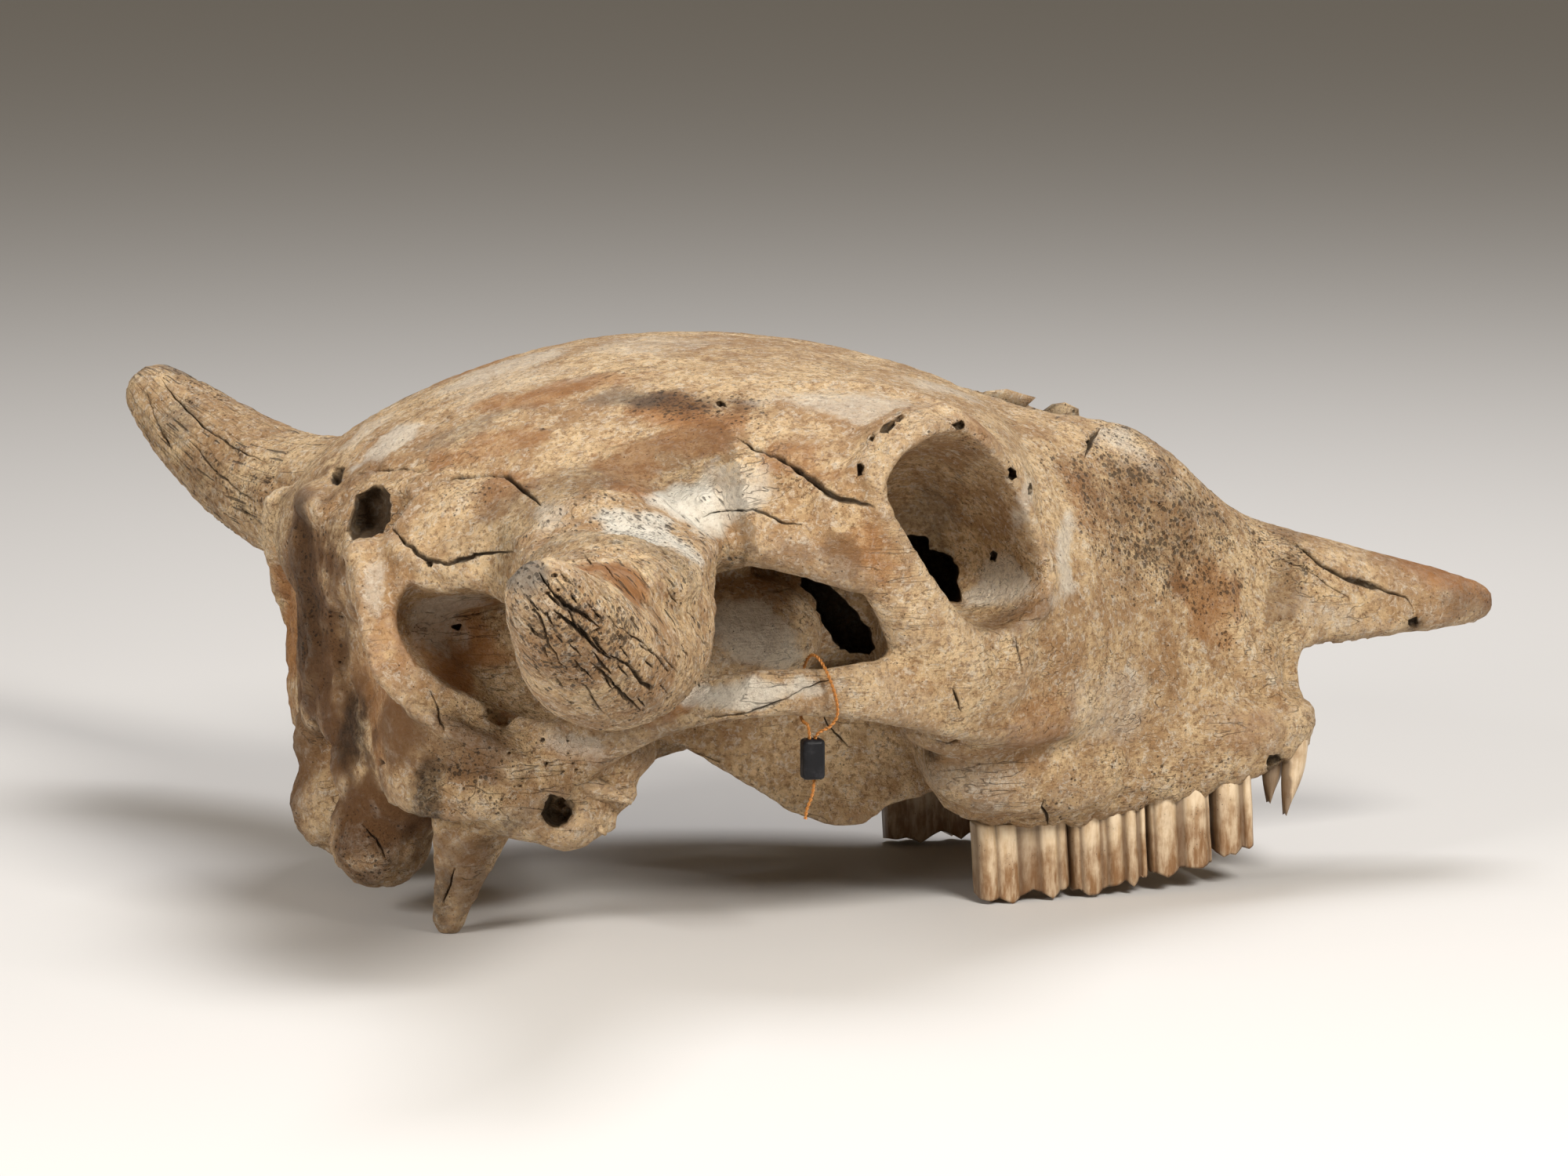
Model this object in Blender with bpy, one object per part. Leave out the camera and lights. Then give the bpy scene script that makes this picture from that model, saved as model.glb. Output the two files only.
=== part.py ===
"""Weathered bison skull without its lower jaw, horn sheaths or incisive bones.

The skull is one bone piece, the cheek teeth stand in sockets of their own, and a
thread with a small seal bead is looped round the right cheek arch.
Positions are written in millimetres in a survey frame: X runs forward to the muzzle,
Y runs to the animal's left, Z runs up, and the ground is at Z = 0.
"""
import math

import bmesh
import bpy
from mathutils import Matrix, Vector

MM = 0.001
RIGHT = -1
LEFT = 1

# Driving dimensions of the skull
TIP_SPAN = 596.0
NASAL_TIP_X = 274.0

# How finely the bone is modelled
CLAY_VOXEL = 3.0
BONE_VOXEL = 2.6
BONE_TRIANGLES = 6600

# Teeth and the seal
SOCKET_GAP = 0.45
BROKEN_SOCKET_GAP = 0.75
SOCKET_REACH = 30.0
THREAD_DIAMETER = 1.25
BEAD_CENTRE = (-27.5, -141.0, 69.2)
BEAD_SIZE = (8.0, 6.4, 14.3)
BEAD_BORE = (4.3, 2.5)

# The frontal and parietal roof, rear to front: each row is X and then the right half
# of the section as (Y, Z), from the top of the midline round to its underside
ROOF = [
    (-180, (0, 146), (30, 143), (58, 130), (70, 120), (60, 110), (30, 106), (0, 106)),
    (-164, (0, 163), (45, 159), (84, 143), (97, 131), (88, 117), (42, 108), (0, 106)),
    (-138, (0, 180.5), (58, 174), (104, 153), (116, 138), (102, 122), (46, 110), (0, 107)),
    (-103, (0, 194), (64, 187), (113, 166), (124, 147), (108, 128), (50, 114), (0, 110)),
    (-66, (0, 201), (68, 195), (114, 176), (130, 152), (120, 130), (56, 118), (0, 114)),
    (-34, (0, 201.5), (70, 197), (120, 181), (144, 158), (134, 138), (58, 124), (0, 118)),
    (-4, (0, 199), (70, 196), (124, 186), (160, 168), (146, 147), (60, 130), (0, 120)),
    (26, (0, 195), (64, 191), (112, 187), (157, 178), (136, 160), (56, 134), (0, 120)),
    (54, (0, 187), (54, 184), (94, 179), (134, 163), (118, 144), (48, 126), (0, 112)),
    (78, (0, 177), (36, 174), (64, 166), (92, 146), (78, 128), (36, 112), (0, 104)),
]

# The face from the orbits to the front of the cheek bones
FACE = [
    (22, (0, 186), (48, 182), (84, 166), (108, 142), (114, 112), (110, 90), (92, 64), (60, 54), (0, 62)),
    (46, (0, 185), (46, 181), (80, 168), (108, 142), (116, 114), (109, 86), (90, 58), (60, 48), (0, 60)),
    (64, (0, 181), (41, 177), (76, 166), (108, 142), (115, 113), (107, 84), (88, 55), (58, 45), (0, 56)),
    (80, (0, 177), (38, 174), (66, 163), (94, 138), (105, 110), (100, 82), (83, 54), (56, 43), (0, 54)),
    (106, (0, 173), (33, 172), (49, 160), (66, 130), (79, 101), (79, 77), (70, 52), (52, 42), (0, 52)),
    (132, (0, 166), (30, 167), (42, 158), (54, 122), (63, 92), (66, 72), (62, 50), (48, 42), (0, 50)),
    (156, (0, 141), (24, 141), (33, 132), (42, 106), (50, 86), (56, 68), (54, 50), (42, 43), (0, 48)),
    (172, (0, 131), (17, 129), (28, 118), (36, 102), (45, 86), (50, 70), (47, 56), (36, 48), (0, 50)),
    (182, (0, 127), (14, 125), (24, 116), (32, 101), (40, 86), (45, 71), (42, 58), (34, 52), (0, 54)),
]

# The nasal bones with the maxillary process beside them
NASAL = [
    (120, (0, 164), (18, 161), (28, 150), (32, 128), (30, 104), (0, 100)),
    (160, (0, 135), (18, 132), (30, 120), (36, 102), (33, 84), (0, 82)),
    (184, (0, 126), (16, 124), (27, 114), (33, 99), (31, 79), (0, 78)),
    (206, (0, 119.5), (14, 118), (25, 109), (29, 96), (27, 80), (0, 79)),
    (232, (0, 112), (13, 110.5), (21, 102), (24, 93), (21, 83), (0, 82)),
    (256, (0, 104.5), (10, 103.5), (15, 98), (16, 91), (13, 84.5), (0, 84.5)),
    (NASAL_TIP_X, (0, 99), (6, 98.4), (9.5, 95), (9, 90), (6, 86.5), (0, 86.5)),
]

# The tooth bearing border of each maxilla: X, inner Y, outer Y, gum Z, top Z
GUM = [
    (30, 54, 72, 52, 82),
    (42, 51, 76, 38, 84),
    (54, 49, 76, 27, 86),
    (87, 45, 72, 26, 82),
    (119, 41, 67, 31, 78),
    (147, 37, 62, 35.5, 74),
    (166, 34, 57, 38, 70),
    (182, 31, 51, 46, 68),
    (191, 30, 46, 51, 68),
]

# The back of the skull, from the midline out: Y, rear X, front X, low Z, high Z
OCCIPUT = [
    (0, -176, -140, 62, 147),
    (18, -179, -138, 56, 146),
    (40, -172, -134, 50, 141),
    (60, -166, -134, 48, 133),
    (76, -169, -146, 46, 124),
    (92, -168, -146, 45, 106),
    (105, -154, -130, 44, 84),
    (113, -138, -110, 46, 70),
]

# The hollow side wall behind the horns: each row is X and then the right half of the
# section as (Y, Z) from the midline round to its underside
REAR_WALL = [
    (-154, (0, 130), (54, 130), (70, 118), (80, 104), (90, 88), (101, 72), (106, 58), (88, 46), (0, 50)),
    (-140, (0, 132), (52, 132), (62, 118), (69, 104), (80, 88), (95, 72), (106, 58), (90, 46), (0, 50)),
    (-122, (0, 132), (52, 132), (59, 118), (62, 104), (70, 88), (90, 72), (106, 60), (92, 46), (0, 50)),
    (-100, (0, 132), (54, 132), (60, 118), (61, 104), (66, 88), (84, 73), (100, 62), (88, 50), (0, 52)),
    (-80, (0, 132), (54, 132), (60, 118), (61, 104), (64, 90), (76, 76), (90, 66), (80, 56), (0, 56)),
    (-62, (0, 130), (50, 130), (58, 118), (60, 104), (60, 90), (58, 76), (52, 66), (40, 60), (0, 60)),
]

# The crest between the back of the skull and the hollow side wall: X, Y, Z, thickness
NECK_CREST = [
    (-173, 62, 141, 9, 8), (-171, 75, 129, 8, 8), (-168, 87, 112, 8, 8), (-162, 94, 95, 9, 8),
    (-151, 101, 80, 10, 9), (-134, 105, 68, 12, 10), (-113, 104, 58, 13, 12),
]

# The brain case and the base of the skull in front of it: X, half width, low Z, high Z
BRAIN_CASE = [
    (-164, 40, 58, 122),
    (-146, 52, 52, 128),
    (-112, 60, 50, 132),
    (-72, 62, 52, 134),
    (-36, 60, 60, 134),
    (-18, 50, 66, 134),
    (2, 36, 72, 136),
    (34, 34, 74, 140),
    (60, 36, 70, 140),
]

# The horn cores: X, Y away from the midline, Z, thickness half across and half high
HORN_RIGHT = [
    (-94, 58, 149, 50, 28),
    (-94, 88, 142, 46, 32),
    (-95, 112, 134, 40, 35),
    (-97, 136, 126.5, 36, 36),
    (-102, 165, 118.5, 34, 32.5),
    (-115, 200, 118.5, 30, 27),
    (-127, 228, 122.5, 27, 24),
    (-136, 250, 130, 24.5, 22),
    (-148, 272, 141.5, 20.5, 18.5),
    (-158, 287, 153, 15.5, 14),
    (-165, 295, 161, 10.5, 9.5),
]
HORN_SWING = (-17.0, -5.0)
HORN_SWING_CURVE = 0.6

# The near core is flatter on top, so its skin runs on from the roof to the tip
NEAR_HORN_TOP = [
    (-86, 84, 149, 42, 12), (-92, 120, 145, 40, 12), (-103, 160, 142, 34, 13),
    (-118, 200, 141, 28, 13), (-134, 235, 143, 23, 12), (-150, 266, 148, 16, 9),
]

# The right cheek arch from its root under the horn to the cheek bone
ARCH = [
    (-124, 100, 62, 13, 15),
    (-104, 110, 72, 9, 13),
    (-84, 120, 84, 6.5, 10),
    (-60, 130, 90.5, 5.5, 9.5),
    (-36, 135, 92.5, 5.2, 9.2),
    (-14, 134, 91, 6, 10),
    (8, 127, 90, 8, 14),
    (30, 116, 86, 11, 17),
    (52, 102, 80, 12, 18),
    (74, 90, 78, 10, 18),
    (98, 76, 76, 7, 15),
]

# The edge of the roof over the temporal opening, which curves down into the bar
TEMPLE_EDGE = [
    (-74, 118, 152, 12, 15), (-58, 124, 150, 11, 13), (-40, 130, 148, 10, 13),
    (-24, 136, 145, 9, 15), (-9, 140, 140, 7.5, 15), (0, 140, 132, 5, 10),
]

# The bar behind the orbit: X, Y, Z, half thickness and half width
ORBIT_BAR = [
    (-12, 140, 172, 8, 26),
    (-8, 144, 154, 6, 19),
    (0, 141, 138, 5.5, 15),
    (10, 134, 120, 6, 13),
    (22, 125, 100, 9, 17),
    (36, 114, 86, 12, 20),
]

# The inner edge of the orbit's rim, all the way round: X, Y, Z; then how the socket
# narrows inside it: size and way in
ORBIT_RIM = [
    (-6, 150, 168), (2, 149.5, 177), (14, 147, 183), (24, 142, 183), (34, 136, 177.5),
    (42, 130, 170), (48, 125, 162), (55, 120, 149), (61, 116, 136), (65, 114, 126),
    (62, 115, 116), (53, 118, 110), (42, 123, 108), (33, 127, 112), (26, 131, 119),
    (16, 138, 132), (7, 144, 145), (-2, 149, 157),
]
SOCKET_STEPS = [(1.3, -30), (1.06, -6), (0.985, 0), (0.95, 8), (0.87, 22), (0.72, 38), (0.5, 52), (0.2, 60)]
SOCKET_AXIS = (-0.22, -1.0, -0.1)
LEFT_RIM_DROP = 8.0

# The bars just outside the rim: size of the ring, way in and radius
RIM_BARS = [(1.05, 0.5, 4.5), (1.07, 9.0, 7.0), (1.04, 20.0, 8.0)]

# The thin wing under the brain case: outline (X, Z) of one plate and its slant in Y
WING = [
    (-74, 72), (-66, 62), (-46, 56), (-28, 45), (-8, 32), (8, 26), (18, 26), (30, 34),
    (46, 38), (58, 44), (60, 66), (20, 80), (-40, 80),
]
WING_REAR_Y = 24.0
WING_FRONT_Y = 46.0
WING_THICKNESS = 5.5

# The cheek teeth of the right side: name, rear X, front X, Y at both ends, crown Z and
# gum Z at both ends, the number of columns on the outer face and how far the worn
# crown rises between them; the back molars are worn flat and carry the skull
TEETH = [
    ("molar_3", 55.0, 90.0, 61.5, 58.0, 0.0, 0.0, 22, 22, 4, 0.0),
    ("molar_2", 91.0, 120.5, 57.8, 54.5, 0.8, 3.0, 24, 28, 4, 0.6),
    ("molar_1", 121.5, 146.0, 54.0, 50.8, 4.0, 8.0, 30, 33, 3, 0.8),
    ("premolar_4", 147.5, 163.0, 50.4, 48.4, 10.5, 12.5, 34, 36, 2, 0.8),
]
FRONT_TEETH_LEFT = [
    ("premolar_3", 164.5, 177.5, 47.6, 45.4, 15.0, 19.0, 38, 42, 2, 0.8),
]
BROKEN_TOOTH = ("premolar_3", 171.0, 187.0, 45.4, 43.0, 28.0, 24.5, 44, 52)
BROKEN_LEAN = 4.0
BROKEN_HALF_DEPTH = 5.4
TOOTH_DEPTH = 15.0
ROOT_HEIGHT = 12.0
BROKEN_ROOT_HEIGHT = 7.2

# The seal thread: the middle of the strand from the bore of the bead, up behind the
# cheek arch, over it, down its outer face, through the bead and out as a short tail
THREAD_ROUTE = [
    (-28.6, -141.0, 74.2), (-28.7, -141.0, 78.0), (-28.9, -139.9, 81.0), (-29.0, -135.5, 81.2),
    (-28.6, -130.0, 82.2), (-28.2, -126.9, 86.5), (-27.6, -126.0, 92.5), (-27.0, -126.9, 98.5),
    (-26.2, -130.2, 103.2), (-25.2, -135.5, 104.8), (-23.8, -140.4, 102.6), (-21.6, -143.1, 96.8),
    (-19.6, -143.5, 90.0), (-19.2, -143.2, 84.4), (-21.6, -142.6, 80.6), (-25.4, -141.6, 78.4),
    (-26.7, -141.0, 75.6), (-26.7, -141.0, 70.0), (-26.9, -141.0, 62.0), (-27.6, -141.1, 56.5),
    (-29.6, -141.4, 51.5), (-30.2, -141.4, 48.0),
]
THREAD_SPACING = 2.6


def clear_scene():
    """Remove what the scene holds."""
    for thing in list(bpy.data.objects):
        bpy.data.objects.remove(thing, do_unlink=True)


def bone_material(name, colour, roughness):
    """A plain Principled material."""
    material = bpy.data.materials.new(name)
    material.use_nodes = True
    shader = material.node_tree.nodes["Principled BSDF"]
    shader.inputs["Base Color"].default_value = (*colour, 1.0)
    shader.inputs["Roughness"].default_value = roughness
    shader.inputs["Metallic"].default_value = 0.0
    return material


def put(name, bm):
    """Turn a bmesh into an object of that name."""
    mesh = bpy.data.meshes.new(name)
    bm.to_mesh(mesh)
    bm.free()
    thing = bpy.data.objects.new(name, mesh)
    bpy.context.scene.collection.objects.link(thing)
    return thing


def soften(thing, levels=2):
    """Round a coarse body off with a subdivision surface."""
    if levels:
        rounded = thing.modifiers.new("Rounding", "SUBSURF")
        rounded.levels = levels
        rounded.render_levels = levels
    return thing


def sweep(name, rings, levels=2):
    """A closed body that passes through rings with the same number of points."""
    bm = bmesh.new()
    base = bm.faces.new([bm.verts.new(Vector(spot) * MM) for spot in rings[0]])
    face = base
    for ring in rings[1:]:
        grown = bmesh.ops.extrude_face_region(bm, geom=[face])["geom"]
        if face is not base:
            bmesh.ops.delete(bm, geom=[face], context="FACES_ONLY")
        face = next(part for part in grown if isinstance(part, bmesh.types.BMFace))
        for vert, spot in zip(face.verts, ring):
            vert.co = Vector(spot) * MM
    bmesh.ops.recalc_face_normals(bm, faces=bm.faces)
    return soften(put(name, bm), levels)


def half_sections(name, sections, levels=2):
    """A body from half sections, each mirrored across the midline."""
    rings = []
    for station, *half in sections:
        right = [(station, -y, z) for y, z in half]
        left = [(station, y, z) for y, z in reversed(half) if y > 0]
        rings.append(right + left)
    return sweep(name, rings, levels)


def limb(name, stations, side=RIGHT, up=(0, 0, 1), count=12, levels=1):
    """A tapered body with oval sections: X, Y, Z, half across and half high."""
    centres = [Vector((x, side * y, z)) for x, y, z, *_ in stations]
    rings = []
    for place, (centre, station) in enumerate(zip(centres, stations)):
        before = centres[max(place - 1, 0)]
        after = centres[min(place + 1, len(centres) - 1)]
        along = (after - before).normalized()
        across = along.cross(Vector(up)).normalized()
        high = across.cross(along)
        ring = []
        for step in range(count):
            turn = math.tau * step / count
            offset = across * (station[3] * math.cos(turn)) + high * (station[4] * math.sin(turn))
            ring.append(centre + offset)
        rings.append(ring)
    return sweep(name, rings, levels)


def blob(name, centre, radii, side=RIGHT, detail=3):
    """An egg shaped lump."""
    bm = bmesh.new()
    middle = Vector((centre[0], side * centre[1], centre[2])) * MM
    place = Matrix.LocRotScale(middle, None, Vector(radii) * MM)
    bmesh.ops.create_icosphere(bm, subdivisions=detail, radius=1.0, matrix=place)
    return put(name, bm)


def block(name, x_range, y_range, z_range):
    """A plain box between two corners."""
    bm = bmesh.new()
    low = Vector((x_range[0], y_range[0], z_range[0]))
    high = Vector((x_range[1], y_range[1], z_range[1]))
    place = Matrix.LocRotScale((low + high) / 2 * MM, None, (high - low) * MM)
    bmesh.ops.create_cube(bm, size=1.0, matrix=place)
    return put(name, bm)


def closed_ring(name, spots, radius, side=RIGHT, count=8):
    """A closed loop of even thickness, as a filled curve turned into a mesh."""
    curve = bpy.data.curves.new(name, "CURVE")
    curve.dimensions = "3D"
    curve.bevel_depth = radius * MM
    curve.bevel_resolution = count // 4
    spline = curve.splines.new("POLY")
    spline.points.add(len(spots) - 1)
    spline.use_cyclic_u = True
    for point, (x, y, z) in zip(spline.points, spots):
        point.co = (x * MM, side * y * MM, z * MM, 1.0)
    thing = bpy.data.objects.new(name, curve)
    bpy.context.scene.collection.objects.link(thing)
    return thing


def maxilla_border(side):
    """The border of bone that holds one row of cheek teeth."""
    rings = []
    for x, inner, outer, gum, top in GUM:
        inset = 3.0
        ring = [
            (x, side * inner, gum + inset), (x, side * (inner + inset), gum),
            (x, side * (outer - inset), gum), (x, side * outer, gum + inset),
            (x, side * (outer + 7), top), (x, side * inner, top),
        ]
        rings.append(ring)
    return sweep("maxilla border", rings, 1)


def occiput_plate():
    """The flat back of the skull, as a band that bends forward at both ears."""
    rings = []
    for side in (RIGHT, LEFT):
        rows = OCCIPUT[::-1] if side == RIGHT else OCCIPUT[1:]
        for y, rear, front, low, high in rows:
            middle = (low + high) / 2
            rings.append([
                (rear + 4, side * y, low), (rear, side * y, low + 8), (rear + 1, side * y, middle),
                (rear, side * y, high - 8), (rear + 4, side * y, high), (front, side * y, high),
                (front, side * y, middle), (front, side * y, low),
            ])
    return sweep("occiput", rings, 1)


def brain_case():
    """The rounded case and the narrower base in front of it."""
    rings = []
    for x, half, low, high in BRAIN_CASE:
        middle = (low + high) / 2
        ring = []
        for step in range(12):
            turn = math.tau * step / 12
            ring.append((x, half * math.cos(turn), middle + (high - low) / 2 * math.sin(turn)))
        rings.append(ring)
    return sweep("brain case", rings, 1)


def wing_plate(side):
    """The thin pterygoid and palatine plate that hangs under the skull."""
    low_x = WING[0][0]
    high_x = max(x for x, _ in WING)
    rings = []
    for offset in (-WING_THICKNESS / 2, WING_THICKNESS / 2):
        ring = []
        for x, z in WING:
            share = (x - low_x) / (high_x - low_x)
            y = WING_REAR_Y + (WING_FRONT_Y - WING_REAR_Y) * share + offset
            ring.append((x, side * y, z))
        rings.append(ring)
    return sweep("wing plate", rings, 0)


def horn_core(side):
    """One horn core; the left one swings a little further back and down."""
    stations = []
    reach = TIP_SPAN / 2 - HORN_RIGHT[-1][1]
    for x, y, z, across, high in HORN_RIGHT:
        share = (y - HORN_RIGHT[0][1]) / (HORN_RIGHT[-1][1] - HORN_RIGHT[0][1])
        back = HORN_SWING[0] * share ** HORN_SWING_CURVE if side == LEFT else 0.0
        down = HORN_SWING[1] * share if side == LEFT else 0.0
        stations.append((x + back, y + reach * share, z + down, across, high))
    return limb("horn core", stations, side, count=14)


def ear_region(side):
    """The lumps round the ear opening, the bulla and the jaw joint."""
    return [
        blob("mastoid", (-118, 98, 58), (24, 18, 22), side),
        blob("ear lump", (-106, 102, 46), (14, 12, 13), side),
        blob("ear ridge", (-92, 100, 56), (12, 9, 11), side),
        blob("jaw joint", (-92, 88, 66), (22, 22, 12), side),
        blob("bulla", (-98, 46, 46), (17, 11, 13), side),
        limb("ear spike", [(-100, 104, 50, 5, 7), (-92, 105, 43, 3.5, 4), (-88, 105, 39, 2, 2)], side),
        limb("joint spike", [(-92, 103, 60, 5, 6), (-85, 105, 54, 3.5, 4), (-81, 105, 50, 2, 2)], side),
    ]


def neck_joint(side):
    """One occipital condyle with its neck and the process that hangs beside it."""
    process = [
        (-130, 88, 68, 22, 14), (-134, 82, 48, 18, 11), (-137, 77, 30, 13, 8.5),
        (-140, 72, 15, 8.5, 7), (-141.5, 69, 4, 7, 6), (-141.5, 68.5, -1.5, 5.5, 5),
    ]
    return [
        blob("condyle", (-158, 32, 30), (19, 21, 20), side),
        blob("condyle neck", (-152, 36, 48), (20, 24, 20), side),
        blob("neck web", (-145, 60, 57), (16, 25, 14), side),
        limb("process", process, side, up=(0, 1, 0)),
    ]


def bone_masses():
    """Every mass of bone that is added, for both sides."""
    masses = [
        half_sections("roof", ROOF),
        half_sections("face", FACE),
        half_sections("nasal", NASAL),
        half_sections("rear wall", REAR_WALL),
        occiput_plate(),
        brain_case(),
        limb("base", [
            (-158, 0, 23, 21, 9), (-132, 0, 33, 21, 11), (-100, 0, 46, 20, 13),
            (-60, 0, 57, 18, 13), (-20, 0, 67, 16, 12), (20, 0, 76, 14, 12),
        ]),
        blob("crest knob", (-174, 6, 146), (9, 22, 8)),
        limb("neck ridge", [
            (-176, 0, 142, 9, 7), (-180, 0, 122, 8, 7), (-177, 0, 96, 7, 6), (-172, 0, 72, 7, 6),
        ]),
    ]
    masses.append(limb("near horn top", NEAR_HORN_TOP))
    for side in (RIGHT, LEFT):
        masses.append(maxilla_border(side))
        masses.append(horn_core(side))
        masses.append(limb("neck crest", NECK_CREST, side))
        masses.append(limb("arch", ARCH, side))
        masses.append(limb("temple edge", TEMPLE_EDGE, side))
        masses.append(limb("orbit bar", ORBIT_BAR, side, up=(1, 0, 0)))
        masses.append(blob("temple bulge", (-28, 46, 98), (30, 19, 22), side))
        masses.extend(rim_bars(side))
        masses.append(blob("facial tuber", (46, 88, 71), (28, 12, 13), side))
        masses.append(limb("cheek slope", [
            (30, 76, 58, 8, 14), (52, 80, 54, 11, 20), (82, 75, 50, 10, 19), (114, 65, 50, 7, 15),
        ], side))
        masses.append(blob("cheek fill", (40, 113, 96), (22, 11, 20), side))
        masses.extend(ear_region(side))
        masses.extend(neck_joint(side))
    return masses


def orbit_rim(side):
    """The rim's spots; the left one sits a little lower."""
    drop = LEFT_RIM_DROP if side == LEFT else 0.0
    return [(x, y, z - drop) for x, y, z in ORBIT_RIM]


def orbit_socket(side):
    """The hollow of one eye socket: the rim's outline, narrowing inwards."""
    rim = orbit_rim(side)
    middle = sum((Vector(spot) for spot in rim), Vector()) / len(rim)
    rings = []
    for size, way in SOCKET_STEPS:
        ring = []
        for spot in rim:
            place = middle + (Vector(spot) - middle) * size + Vector(SOCKET_AXIS) * way
            ring.append((place.x, side * place.y, place.z))
        rings.append(ring)
    return sweep("orbit", rings, 1)


def rim_bars(side):
    """Round bars just outside the rim, which give it its thickness."""
    rim = orbit_rim(side)
    middle = sum((Vector(spot) for spot in rim), Vector()) / len(rim)
    bars = []
    for size, way, radius in RIM_BARS:
        spots = []
        for spot in rim:
            place = middle + (Vector(spot) - middle) * size + Vector(SOCKET_AXIS) * way
            spots.append(tuple(place))
        bars.append(closed_ring("rim bar", spots, radius, side))
    return bars


def thin_masses():
    """Bone that is added after the hollows are cut: the thin plates."""
    masses = [wing_plate(RIGHT), wing_plate(LEFT)]
    masses.append(limb("septum base", [(60, 0, 60, 3, 8), (110, 0, 56, 3, 7), (150, 0, 54, 3, 6)]))
    return masses


def hollows():
    """Every hollow that is cut out of the bone."""
    cuts = [
        limb("nasal cavity", [
            (64, 0, 118, 26, 30), (90, 0, 116, 38, 46), (118, 0, 108, 38, 48),
            (142, 0, 97, 33, 41), (164, 0, 88, 29, 34), (184, 0, 84, 27, 31),
            (206, 0, 76, 23, 34), (232, 0, 70, 17.5, 34), (256, 0, 66, 10, 31), (264, 0, 62, 7, 30),
        ]),
        limb("broken nasal roof", [
            (78, 0, 176, 20, 16), (92, 0, 172, 26, 22), (112, 0, 168, 25, 22),
            (134, 0, 160, 21, 20), (152, 0, 148, 14, 14),
        ]),
        limb("inner nostril", [(2, 0, 58, 16, 14), (34, 0, 60, 20, 16), (70, 0, 84, 22, 18)]),
        limb("palate", [
            (30, 0, 36, 38, 22), (60, 0, 32, 40, 20), (100, 0, 34, 37, 18),
            (140, 0, 38, 32, 15), (178, 0, 42, 27, 14), (200, 0, 44, 24, 14),
        ]),
        limb("foramen magnum", [(-200, 0, 46, 17, 15), (-176, 0, 50, 17, 16), (-140, 0, 60, 14, 14)]),
        limb("sinus hole", [(-190, 76, 151, 10, 10), (-172, 70, 151, 10, 10), (-150, 58, 152, 8, 9)]),
    ]
    for side in (RIGHT, LEFT):
        cuts.append(orbit_socket(side))
        cuts.append(limb("temporal fossa", [
            (-163, 96, 114, 15, 15), (-152, 96, 110, 24, 22), (-138, 95, 107, 28, 21),
            (-116, 90, 106, 30, 21),
            (-84, 90, 110, 28, 20), (-52, 94, 113, 31, 22), (-22, 96, 112, 31, 24),
            (-2, 90, 110, 26, 20), (12, 74, 112, 17, 17), (22, 50, 114, 12, 12),
        ], side))
        cuts.append(limb("fossa mouth", [
            (-142, 118, 100, 14, 15), (-112, 130, 100, 16, 15), (-84, 138, 112, 16, 12),
            (-52, 140, 119, 18, 14), (-27, 140, 114, 18, 14), (-10, 136, 106, 14, 9),
        ], side))
        cuts.append(limb("ear opening", [
            (-112, 130, 47, 5, 5), (-108, 104, 50, 5, 5), (-104, 92, 52, 3, 3),
        ], side))
        cuts.append(limb("side of snout", [
            (196, 62, 92, 10, 12), (184, 58, 96, 9, 11), (170, 58, 100, 8, 8),
        ], side))
        cuts.append(limb("under the brain case", [
            (-60, 68, 44, 14, 10), (-20, 76, 54, 22, 14), (20, 74, 50, 16, 12),
        ], side))
    return cuts


def gathered(name, pieces, voxel):
    """Join evaluated pieces in one object, merged by a voxel remesh."""
    bpy.context.view_layer.update()
    view = bpy.context.evaluated_depsgraph_get()
    bm = bmesh.new()
    for piece in pieces:
        shown = piece.evaluated_get(view)
        bm.from_mesh(shown.to_mesh())
        shown.to_mesh_clear()
    for piece in pieces:
        bpy.data.objects.remove(piece, do_unlink=True)
    thing = put(name, bm)
    fuse(thing, voxel)
    return thing


def fuse(thing, voxel):
    """Merge everything in an object into one skin."""
    remesh = thing.modifiers.new("Fuse", "REMESH")
    remesh.mode = "VOXEL"
    remesh.voxel_size = voxel * MM
    remesh.adaptivity = 0.0


def relax(thing, factor, times):
    """Smooth an object's skin."""
    smooth = thing.modifiers.new("Relax", "SMOOTH")
    smooth.factor = factor
    smooth.iterations = times


def cut(thing, cutter):
    """Take one object out of another."""
    boolean = thing.modifiers.new("Cut", "BOOLEAN")
    boolean.operation = "DIFFERENCE"
    boolean.solver = "EXACT"
    boolean.object = cutter


def bake(thing):
    """Replace an object's mesh by its evaluated one and drop the modifiers."""
    bpy.context.view_layer.update()
    view = bpy.context.evaluated_depsgraph_get()
    mesh = bpy.data.meshes.new_from_object(thing.evaluated_get(view))
    thing.modifiers.clear()
    thing.data = mesh


def keep_largest(thing):
    """Drop crumbs: only the body with the most faces stays."""
    bm = bmesh.new()
    bm.from_mesh(thing.data)
    seen = set()
    bodies = []
    for face in bm.faces:
        if face in seen:
            continue
        body = [face]
        seen.add(face)
        for member in body:
            for edge in member.edges:
                for other in edge.link_faces:
                    if other not in seen:
                        seen.add(other)
                        body.append(other)
        bodies.append(body)
    bodies.sort(key=len)
    crumbs = [face for body in bodies[:-1] for face in body]
    bmesh.ops.delete(bm, geom=crumbs, context="FACES")
    bm.to_mesh(thing.data)
    bm.free()


def thin_out(thing, triangles):
    """Reduce an object to about the given number of triangles."""
    bm = bmesh.new()
    bm.from_mesh(thing.data)
    bmesh.ops.triangulate(bm, faces=bm.faces)
    count = len(bm.faces)
    bm.to_mesh(thing.data)
    bm.free()
    reduce = thing.modifiers.new("Reduce", "DECIMATE")
    reduce.ratio = triangles / count
    bake(thing)


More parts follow.
